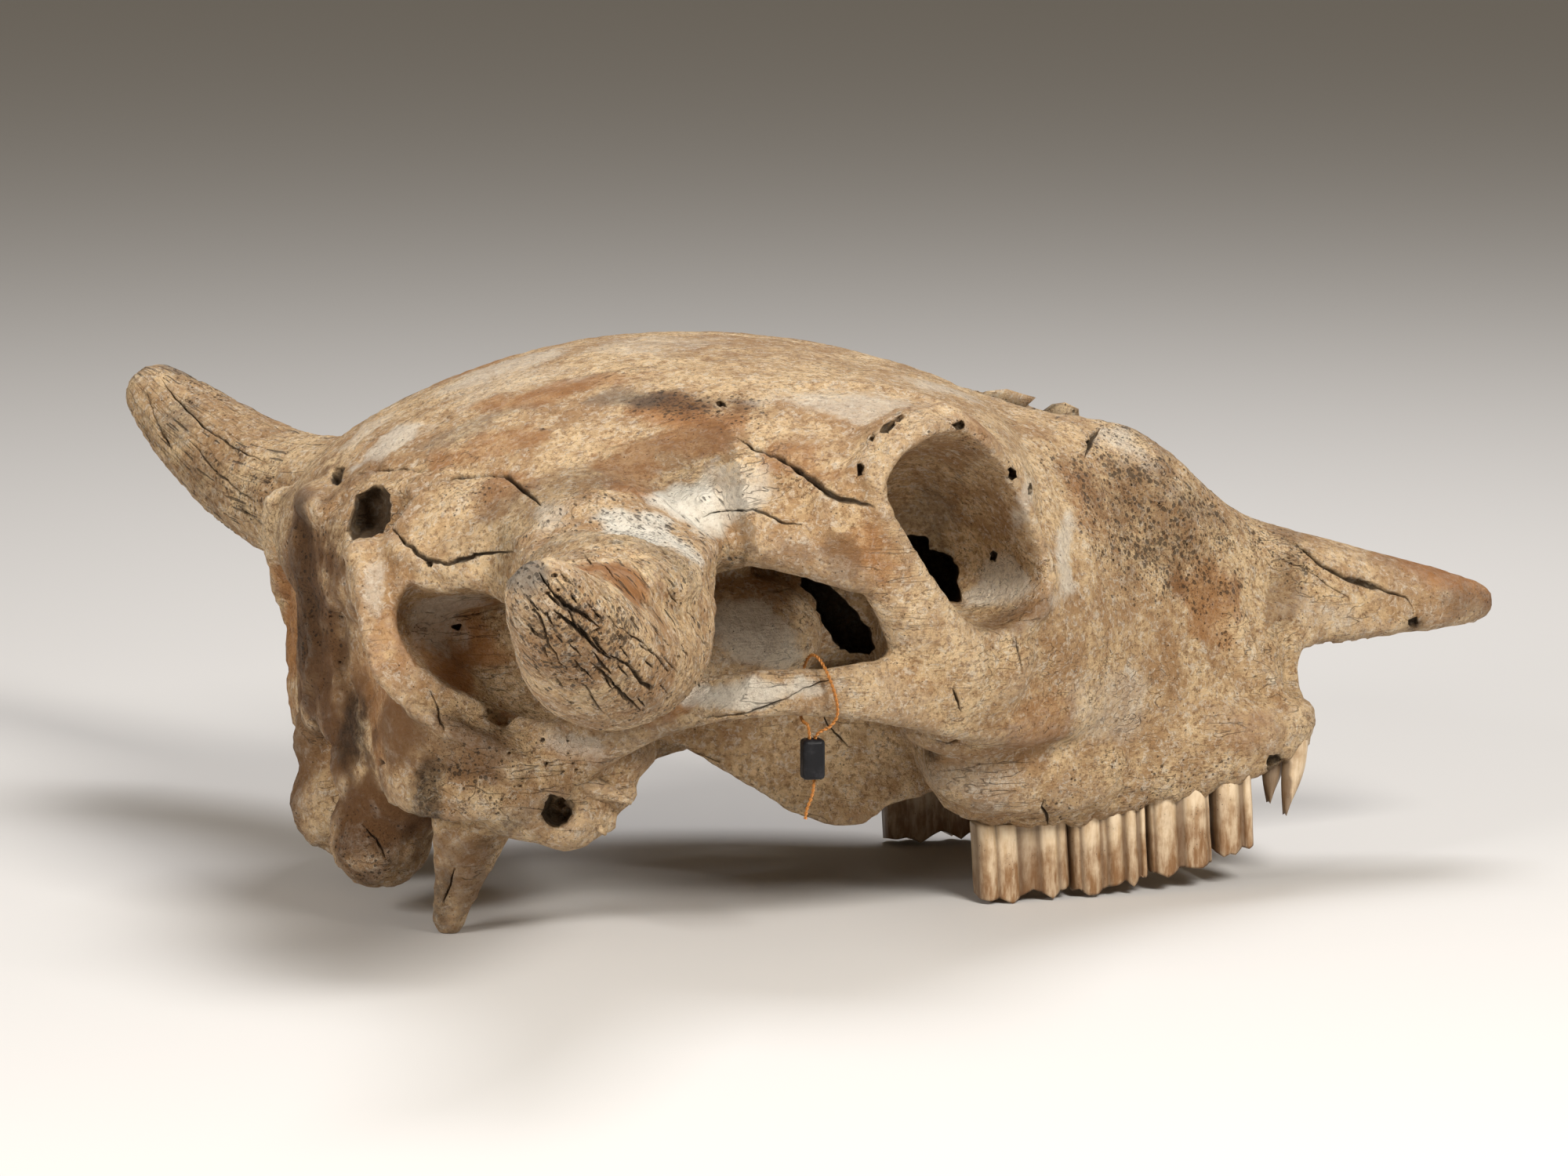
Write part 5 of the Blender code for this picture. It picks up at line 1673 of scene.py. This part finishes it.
def cells(vector, scale):
    """Distance to the nearest of many scattered spots."""
    node = tree.nodes.new("ShaderNodeTexVoronoi")
    feed(node.inputs["Vector"], vector)
    node.inputs["Scale"].default_value = scale
    return node.outputs["Distance"]


def between(value, low, high, start=0.0, end=1.0):
    """A smooth step of a value from low to high."""
    node = tree.nodes.new("ShaderNodeMapRange")
    node.interpolation_type = "SMOOTHSTEP"
    feed(node.inputs["Value"], value)
    node.inputs["From Min"].default_value = low
    node.inputs["From Max"].default_value = high
    node.inputs["To Min"].default_value = start
    node.inputs["To Max"].default_value = end
    return node.outputs["Result"]


def mixed(share, first, second):
    """Two colours mixed by a share."""
    node = tree.nodes.new("ShaderNodeMix")
    node.data_type = "RGBA"
    node.clamp_factor = True
    feed(node.inputs[0], share)
    feed(node.inputs[6], first if isinstance(first, bpy.types.NodeSocket) else (*first, 1.0))
    feed(node.inputs[7], second if isinstance(second, bpy.types.NodeSocket) else (*second, 1.0))
    return node.outputs[2]


# %% [markdown]
# The grain group works on two vectors: the place in metres, and the grain vector in
# millimetres, in which the furrows of the horns run straight. Pores are the middles of
# scattered cells, kept only where a slower noise lets them. Splits are thin lines where
# a noise that is stretched along the grain crosses its middle value.

# %% The grain of bone
tree, given, made = group(
    "bone grain",
    [("Place", "vector"), ("Grain", "vector"), ("Horn", "value"), ("Pores", "value")],
    [("Pits", "value"), ("Splits", "value"), ("Fibre", "value"), ("Height", "value")],
)
patches = cloud(given["Place"], 90.0, 4.0, 0.6)
opening = between(patches, 0.30, 0.66, 0.35, 1.0)


def kept_cells(vector, scale, amount, size):
    """Spots of scattered cells, kept where an amount and the patches let them."""
    reach = times(times(amount, opening), size)
    return between(minus(reach, cells(vector, scale)), -0.03, 0.04)


round_amount = least(plus(given["Pores"], 0.30), 1.0)
horn_amount = times(given["Horn"], 0.75)
dash = scaled(given["Grain"], (0.4, 1.0, 1.0))
large = kept_cells(given["Place"], 360.0, round_amount, 0.36)
small = kept_cells(given["Place"], 800.0, round_amount, 0.40)
dashes = kept_cells(dash, 0.5, horn_amount, 0.37)
all_pits = most(most(large, times(small, 0.7)), dashes)
long_grain = scaled(given["Grain"], (0.22, 1.0, 1.0))
lines = cloud(long_grain, 0.22, 2.0, 0.5, 0.3)
edge = absolute(minus(lines, 0.5))
here = between(cloud(given["Place"], 26.0, 2.0), 0.45, 0.62)
splits = times(between(edge, 0.0, 0.012, 1.0, 0.0), here)
horn_lines = cloud(given["Grain"], 0.15, 1.0, 0.5)
horn_edge = absolute(minus(horn_lines, 0.5))
furrows = times(between(horn_edge, 0.0, 0.035, 1.0, 0.0), given["Horn"])
all_splits = most(times(splits, 0.7), times(furrows, 0.35))
fibre = cloud(scaled(given["Grain"], (0.3, 1.0, 1.0)), 1.1, 4.0, 0.7)
grit = cloud(given["Place"], 300.0, 6.0, 0.75)
height = plus(times(fibre, 0.4), times(grit, 1.3))
height = minus(height, times(all_pits, 1.1))
height = minus(height, times(all_splits, 0.8))
for label, value in (("Pits", all_pits), ("Splits", all_splits), ("Fibre", fibre), ("Height", height)):
    feed(made[label], value)
bone_grain = tree
print("nodes in the grain group:", len(tree.nodes))

# %% [markdown]
# The colour group starts with cream and tan clouds, then lays the marks over it in the
# order in which weather does it: stain, dirt, bleaching. Painted shade goes into the
# hollows with the dirt and painted highlights onto the ridges with the bleaching, and last
# come dark patches, partly painted shadow, and painted shade in the pores, cracks and holes.

# %% The colour of bone
CREAM = (0.84, 0.62, 0.36)
TAN = (0.43, 0.25, 0.115)
UMBER = (0.27, 0.15, 0.07)
OCHRE = (0.42, 0.18, 0.05)
RUST = (0.24, 0.09, 0.025)
# The dirt colour also paints shade into the hollows and into shaded patches
DIRT_AND_SHADE = (0.16, 0.075, 0.028)
GREY = (0.20, 0.165, 0.13)
WHITE = (0.88, 0.82, 0.70)
DARK = (0.03, 0.02, 0.012)
KINDS = ["Horn", "White", "Ochre", "Dirt", "Dark", "Grey", "Deep", "Hollow", "Proud"]
tree, given, made = group(
    "bone colour",
    [("Place", "vector")] + [(kind, "value") for kind in KINDS]
    + [("Pits", "value"), ("Splits", "value"), ("Fibre", "value")],
    [("Color", "colour"), ("Roughness", "value")],
)
wide = cloud(given["Place"], 22.0, 4.0, 0.6, 0.6)
middle = cloud(given["Place"], 75.0, 5.0, 0.65, 0.5)
close = cloud(given["Place"], 420.0, 6.0, 0.8)
blend = plus(times(wide, 0.5), times(middle, 0.5))
colour = mixed(between(blend, 0.38, 0.62), CREAM, TAN)
mottle = between(cloud(given["Place"], 210.0, 6.0, 0.8), 0.47, 0.62)
colour = mixed(times(mottle, 0.8), colour, TAN)
speckle = between(cloud(given["Place"], 520.0, 5.0, 0.8), 0.50, 0.62)
colour = mixed(times(speckle, 0.8), colour, UMBER)
flecks = between(cloud(given["Place"], 330.0, 6.0, 0.8, 0.8), 0.50, 0.62)
colour = mixed(times(flecks, 0.5), colour, WHITE)
colour = mixed(times(between(given["Fibre"], 0.45, 0.75), 0.35), colour, TAN)
spotty = between(plus(middle, times(close, 0.4)), 0.55, 0.85)


def laid(colour, share, paint, low, high):
    """Lay paint where a share plus a spotty noise passes a limit."""
    amount = between(plus(share, times(close, 0.9)), low + 0.15, high + 0.05)
    return mixed(times(amount, share), colour, paint)


loose_ochre = between(cloud(given["Place"], 34.0, 5.0, 0.7, 1.2), 0.60, 0.75, 0.0, 0.55)
colour = laid(colour, most(given["Ochre"], loose_ochre), OCHRE, 0.45, 0.95)
colour = mixed(times(times(given["Ochre"], spotty), 0.55), colour, RUST)
horn_dirt = times(given["Horn"], 0.1)
loose_dirt = between(cloud(given["Place"], 48.0, 5.0, 0.7), 0.62, 0.80, 0.0, 0.6)
dirt = most(most(given["Dirt"], horn_dirt), loose_dirt)
# Painted shade: the hollows are darkened with the dirt colour
dirt = most(dirt, times(given["Hollow"], 0.25))
colour = laid(colour, dirt, DIRT_AND_SHADE, 0.40, 1.05)
colour = laid(colour, given["Grey"], GREY, 0.35, 0.85)
# Bleaching, with painted highlights from the white dabs and on the proud ridges
bleach_and_highlight = most(given["White"], times(given["Proud"], 0.3))
colour = laid(colour, bleach_and_highlight, WHITE, 0.45, 1.0)
colour = mixed(times(speckle, 0.3), colour, UMBER)
# Dark dabs: dark stain and painted shadow
colour = mixed(times(given["Dark"], between(close, 0.3, 0.7, 0.5, 1.0)), colour, DARK)
# Painted shade in the pores, the fine splits, and the cracks and holes below the old skin
colour = mixed(times(given["Pits"], 0.7), colour, DARK)
colour = mixed(times(given["Splits"], 0.7), colour, DARK)
colour = mixed(times(given["Deep"], 0.8), colour, DARK)
feed(made["Color"], colour)
feed(made["Roughness"], between(close, 0.2, 0.8, 0.55, 0.85))
bone_colour = tree
print("nodes in the colour group:", len(tree.nodes))

# %% The bone material
def shader_of(name):
    """A new material with its tree and its Principled node."""
    material = bpy.data.materials.new(name)
    material.use_nodes = True
    return material, material.node_tree, material.node_tree.nodes["Principled BSDF"]


def bump(shader, height, strength, distance):
    """Feed a height to the shader's normal; the distance is in metres."""
    node = tree.nodes.new("ShaderNodeBump")
    node.inputs["Strength"].default_value = strength
    node.inputs["Distance"].default_value = distance
    feed(node.inputs["Height"], height)
    tree.links.new(node.outputs["Normal"], shader.inputs["Normal"])


def stored(name, output):
    """An attribute of the mesh."""
    node = tree.nodes.new("ShaderNodeAttribute")
    node.attribute_name = name
    return node.outputs[output]


bone_material, tree, shader = shader_of("old bone")
place = tree.nodes.new("ShaderNodeTexCoord").outputs["Object"]
grain_node = tree.nodes.new("ShaderNodeGroup")
grain_node.node_tree = bone_grain
feed(grain_node.inputs["Place"], place)
feed(grain_node.inputs["Grain"], stored("grain", "Vector"))
feed(grain_node.inputs["Horn"], stored("horn", "Fac"))
feed(grain_node.inputs["Pores"], stored("pores", "Fac"))
colour_node = tree.nodes.new("ShaderNodeGroup")
colour_node.node_tree = bone_colour
feed(colour_node.inputs["Place"], place)
for kind in KINDS:
    feed(colour_node.inputs[kind], stored(kind.lower(), "Fac"))
for label in ("Pits", "Splits", "Fibre"):
    feed(colour_node.inputs[label], grain_node.outputs[label])
feed(shader.inputs["Base Color"], colour_node.outputs["Color"])
feed(shader.inputs["Roughness"], colour_node.outputs["Roughness"])
shader.inputs["Specular IOR Level"].default_value = 0.25
bump(shader, grain_node.outputs["Height"], 1.0, 0.0022)
bone.data.materials.clear()
bone.data.materials.append(bone_material)

# %% [markdown]
# Tooth enamel is ivory with a dull shine, stained brown towards the worn crown and darker
# in the furrows between its columns; the inner prong of the broken premolar is painted dark
# as shade. The thread is dull copper, and the seal nearly black.

# %% Tooth, thread and seal materials
tooth_material, tree, shader = shader_of("stained enamel")
place = tree.nodes.new("ShaderNodeTexCoord").outputs["Object"]
streaks = cloud(scaled(place, (1.0, 1.0, 0.22)), 420.0, 5.0, 0.65)
patches = cloud(place, 110.0, 4.0, 0.6)
low_share = stored("crown", "Fac")
stain = plus(times(low_share, 0.55), times(patches, 0.75))
stain = between(stain, 0.42, 0.82)
colour = mixed(between(streaks, 0.35, 0.7), (0.74, 0.60, 0.42), (0.58, 0.42, 0.25))
colour = mixed(times(stain, between(streaks, 0.3, 0.65, 0.45, 1.0)), colour, (0.23, 0.115, 0.045))
# Darker in the furrows between the columns and on the chewing face; on the broken premolar this paints shade
# on its inner prong
colour = mixed(times(stored("furrow", "Fac"), 0.75), colour, (0.10, 0.05, 0.022))
dots = between(cells(place, 700.0), 0.10, 0.20, 1.0, 0.0)
dots = times(dots, between(patches, 0.5, 0.62))
colour = mixed(times(dots, 0.8), colour, (0.04, 0.025, 0.015))
feed(shader.inputs["Base Color"], colour)
shader.inputs["Roughness"].default_value = 0.42
shader.inputs["Specular IOR Level"].default_value = 0.4
bump(shader, streaks, 0.5, 0.0004)

thread_material, tree, shader = shader_of("copper thread")
place = tree.nodes.new("ShaderNodeTexCoord").outputs["Object"]
strands = cloud(place, 2600.0, 2.0)
feed(shader.inputs["Base Color"], mixed(strands, (0.62, 0.27, 0.06), (0.30, 0.11, 0.025)))
shader.inputs["Roughness"].default_value = 0.45
shader.inputs["Metallic"].default_value = 0.35
bump(shader, strands, 0.6, 0.0002)

seal_material, tree, shader = shader_of("dark seal")
place = tree.nodes.new("ShaderNodeTexCoord").outputs["Object"]
wear = cloud(place, 260.0, 4.0, 0.6)
worn_black = mixed(between(wear, 0.45, 0.7), (0.006, 0.006, 0.008), (0.022, 0.022, 0.026))
feed(shader.inputs["Base Color"], worn_black)
feed(shader.inputs["Roughness"], between(wear, 0.3, 0.7, 0.35, 0.6))
shader.inputs["Specular IOR Level"].default_value = 0.25
bump(shader, wear, 0.4, 0.0004)
thread.data.materials.append(thread_material)
bead.data.materials.append(seal_material)

# %% [markdown]
# ## Teeth
# The cheek teeth of a grazer are tall columns of folded enamel, worn into a jagged
# chisel edge. Each is swept from its crown up into the bone. A row names the tooth, its
# ends along X, the Y at both ends, the gum at both ends, then the ribs of its outer face
# as (share of the length, half width, height) and its worn edge as (share, Z).

# %% Tooth tables
TOOTH_DEPTH = 15.0
TEETH = [
    (
        "molar_3", 55.0, 90.0, 61.5, 58.0, 22, 22,
        [(0.10, 0.10, 2.2), (0.31, 0.12, 2.5), (0.55, 0.09, 0.7), (0.77, 0.10, 2.3), (0.93, 0.06, 1.3)],
        [(0, 1.7), (0.08, 1.4), (0.2, 2.0), (0.33, 0.05), (0.45, 2.2), (0.57, 4.4), (0.66, 3.2), (0.78, 0.8),
         (0.86, 3.0), (0.93, 3.8), (1, 4.5)],
    ),
    (
        "molar_2", 91.0, 120.5, 57.8, 54.5, 24, 28,
        [(0.06, 0.05, 1.1), (0.25, 0.13, 2.5), (0.42, 0.04, 0.8), (0.57, 0.10, 1.9),
         (0.78, 0.08, 2.5), (0.95, 0.05, 2.1)],
        [(0, 2.4), (0.06, 3.4), (0.17, 1.0), (0.3, 1.3), (0.42, 3.2), (0.57, 3.9), (0.68, 5.2), (0.775, 3.0),
         (0.86, 5.6), (0.94, 6.1), (1, 6.8)],
    ),
    (
        "molar_1", 121.5, 146.0, 54.0, 50.8, 30, 33,
        [(0.04, 0.03, 0.8), (0.25, 0.19, 2.4), (0.74, 0.2, 2.6), (0.97, 0.03, 1.2)],
        [(0, 7.4), (0.1, 6.9), (0.24, 5.4), (0.4, 7.4), (0.47, 8.6), (0.6, 8.2), (0.8, 8.0),
         (0.92, 9.2), (1, 9.8)],
    ),
    (
        "premolar_4", 147.5, 163.0, 50.4, 48.4, 34, 36,
        [(0.34, 0.30, 1.9), (0.85, 0.14, 1.7)],
        [(0, 12.8), (0.15, 11.2), (0.3, 12.3), (0.45, 11.8), (0.65, 14.2), (0.8, 13.6), (0.95, 15), (1, 16)],
    ),
]
FRONT_TEETH_LEFT = [
    (
        "premolar_3", 164.5, 177.5, 47.6, 45.4, 38, 42,
        [(0.34, 0.30, 1.8), (0.85, 0.14, 1.5)],
        [(0, 17), (0.2, 15.4), (0.45, 16.6), (0.65, 18), (0.85, 18.2), (1, 20)],
    ),
]
TOOTH_LEAN = 0.055
OUTER_STEPS = 72


def from_table(table, share):
    """A value between the entries of a small table of shares and values."""
    shares, values = zip(*table)
    return float(np.interp(share, shares, values))


def rib_height(ribs, share):
    """How proud the outer face stands at a share of the length."""
    total = 0.0
    for middle, half, height in ribs:
        away = abs(share - middle) / half
        if away < 1:
            total = max(total, height * math.cos(away * math.pi / 2) ** 0.7)
    return total


def cheek_tooth(entry, side):
    """One tall tooth, with the share of crown stain and of furrow kept on its points."""
    name, rear, front, y_rear, y_front, gum_rear, gum_front, ribs, edge = entry
    outline = []
    for step in range(OUTER_STEPS + 1):
        share = step / OUTER_STEPS
        corner = 2.4 * max(0.0, abs(2 * share - 1) * 4 - 3) ** 2
        rise = rib_height(ribs, share)
        outline.append((share, TOOTH_DEPTH / 2 - 1.9 - corner + rise, 1 - min(1.0, rise / 1.6)))
    for step in range(OUTER_STEPS // 2, -1, -1):
        share = step * 2 / OUTER_STEPS
        corner = 2.4 * max(0.0, abs(2 * share - 1) * 4 - 3) ** 2
        flute = 0.7 * math.cos(share * 3 * math.tau)
        outline.append((share, -TOOTH_DEPTH / 2 + corner + 1.0 - flute, 0.2))
    rings = []
    crowns = []
    furrows = []
    levels = [0.0, 0.03, 0.07] + [0.07 + 0.93 * step / 16 for step in range(1, 17)]
    for level in levels:
        ring = []
        for share, depth, furrow in outline:
            low = from_table(edge, share) + (1.2 if depth < 0 else 0.0)
            gum = gum_rear + (gum_front - gum_rear) * share + 7.0
            z = low + (gum - low) * level
            x = rear + (front - rear) * share
            y = y_rear + (y_front - y_rear) * share
            sway = noise.noise((x * 0.35, z * 0.12, y * 0.3 + side * 9.0)) * 0.35
            bite = 0.35 * max(0.0, 1 - level / 0.07)
            middle = (low + gum) / 2
            x += (middle - z) * TOOTH_LEAN + sway * 0.4
            ring.append((x, side * (y + depth * (1 - bite * 0.12) + sway * 0.5), z))
            crowns.append(1 - level)
            furrows.append(furrow)
        rings.append(ring)
    cup = []
    for x, y, z in rings[0]:
        centre = side * (y_rear + y_front) / 2
        cup.append((x + ((rear + front) / 2 - x) * 0.16, y + (centre - y) * 0.35, z + 1.6))
    rings.insert(0, cup)
    crowns = [1.0] * len(outline) + crowns
    furrows = [0.6] * len(outline) + furrows
    word = "right" if side == RIGHT else "left"
    piece = sweep(f"{name}_{word}_visual", rings, 0)
    keep_on(piece, "crown", crowns)
    keep_on(piece, "furrow", furrows)
    piece.data.materials.append(tooth_material)
    shade_smooth(piece)
    return piece


def keep_on(piece, name, values):
    """Store one value per point of a piece, in the order of its rings."""
    layer = piece.data.attributes.new(name, "FLOAT", "POINT")
    layer.data.foreach_set("value", values)


# The inner prong of the broken tooth, painted dark as shade, lies behind this X and below this Z
PRONG_FRONT, PRONG_TOP = 178.6, 44


def broken_premolar():
    """The front premolar: a curved outer wall of enamel and a hollow inner prong."""
    walls = []
    for lean, half_wide, half_deep, tip, top, middle_x, middle_y in (
        (4.5, 4.6, 2.2, 24.6, 54.0, 181.5, 48.0), (2.4, 4.4, 2.6, 28.6, 52.0, 174.6, 43.5),
    ):
        rings = []
        for step in range(15):
            level = step / 14
            narrow = 0.12 + 0.88 * math.sin(min(1.0, level * 1.5) * math.pi / 2)
            z = tip + (top - tip) * level
            ring = []
            for turn_step in range(20):
                turn = math.tau * turn_step / 20
                x = middle_x + math.cos(turn) * half_wide * narrow - lean * (1 - level) ** 1.6
                y = middle_y + math.sin(turn) * half_deep * (0.5 + narrow / 2) - 1.4 * math.cos(turn) ** 2
                ring.append((x, -y, z + 0.7 * math.sin(turn * 3) * (1 - level)))
            rings.append(ring)
        wall = sweep("wall", rings, 0)
        walls.append(wall)
    bm = bmesh.new()
    for wall in walls:
        bm.from_mesh(wall.data)
        bpy.data.objects.remove(wall, do_unlink=True)
    piece = put("premolar_3_right_visual", bm)
    keep_on(piece, "crown", [0.35] * len(piece.data.vertices))
    # Painted shade: the inner prong, which stands in shade, is darkened through its furrow value
    prong_shade = []
    for vert in piece.data.vertices:
        spot = to_survey(vert.co)
        prong_shade.append(1.0 if spot.x < PRONG_FRONT and spot.z < PRONG_TOP else 0.1)
    keep_on(piece, "furrow", prong_shade)
    piece.data.materials.append(tooth_material)
    shade_smooth(piece)
    return piece


# %% Make the teeth
teeth = []
for side, word in ((RIGHT, "right"), (LEFT, "left")):
    for entry in TEETH + (FRONT_TEETH_LEFT if side == LEFT else []):
        teeth.append((cheek_tooth(entry, side), f"{entry[0]}_{word}"))
teeth.append((broken_premolar(), "premolar_3_right"))
print("teeth:", len(teeth), "faces:", sum(len(piece.data.polygons) for piece, _ in teeth))
PIECES = [bone, thread, bead] + [piece for piece, _ in teeth]
REPLACES = [(bone, "skull", "bone"), (thread, "seal_thread", "thread"), (bead, "seal_bead", "seal")]
REPLACES += [(piece, node, "tooth") for piece, node in teeth]

# %% [markdown]
# ## Floor and light
# The stage is a plain, pale, flat floor under a warm and weak sky. Three soft boxes, on
# the near side, towards the back and high on the far side, leave soft shadows.

# %% Stage and lights
floor_bm = bmesh.new()
bmesh.ops.create_grid(floor_bm, x_segments=1, y_segments=1, size=6.0)
floor = put("floor", floor_bm)
floor_material = bpy.data.materials.new("pale floor")
floor_material.use_nodes = True
floor_shader = floor_material.node_tree.nodes["Principled BSDF"]
floor_shader.inputs["Base Color"].default_value = (0.62, 0.61, 0.60, 1.0)
floor_shader.inputs["Roughness"].default_value = 0.8
floor.data.materials.append(floor_material)


def soft_box(name, place, power, size, colour):
    """A square area light that points at the skull."""
    data = bpy.data.lights.new(name, "AREA")
    data.energy = power
    data.size = size
    data.color = colour
    light = bpy.data.objects.new(name, data)
    light.location = place
    light.rotation_euler = (aim - light.location).to_track_quat("-Z", "Y").to_euler()
    bpy.context.scene.collection.objects.link(light)


soft_box("key", Vector((0.35, -1.5, 1.25)), 38, 0.6, (1.0, 0.96, 0.90))
soft_box("side", Vector((-1.6, -1.0, 0.8)), 24, 0.6, (1.0, 0.96, 0.91))
soft_box("top", Vector((0.4, 0.8, 1.7)), 22, 0.8, (0.98, 0.98, 1.0))
world = bpy.data.worlds.new("studio")
world.use_nodes = True
world.node_tree.nodes["Background"].inputs["Color"].default_value = (0.92, 0.80, 0.64, 1.0)
world.node_tree.nodes["Background"].inputs["Strength"].default_value = 0.2
bpy.context.scene.world = world
bpy.context.scene.view_settings.view_transform = "Standard"

# %% [markdown]
# ## Riding and declaring
# Every piece rides on the one body of this part. The bone stands for the skull's solid,
# and each new piece for its own solid.

# %% Ride and replace
for piece in PIECES:
    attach(piece, "root")
for piece, node, slot_name in REPLACES:
    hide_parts(node)
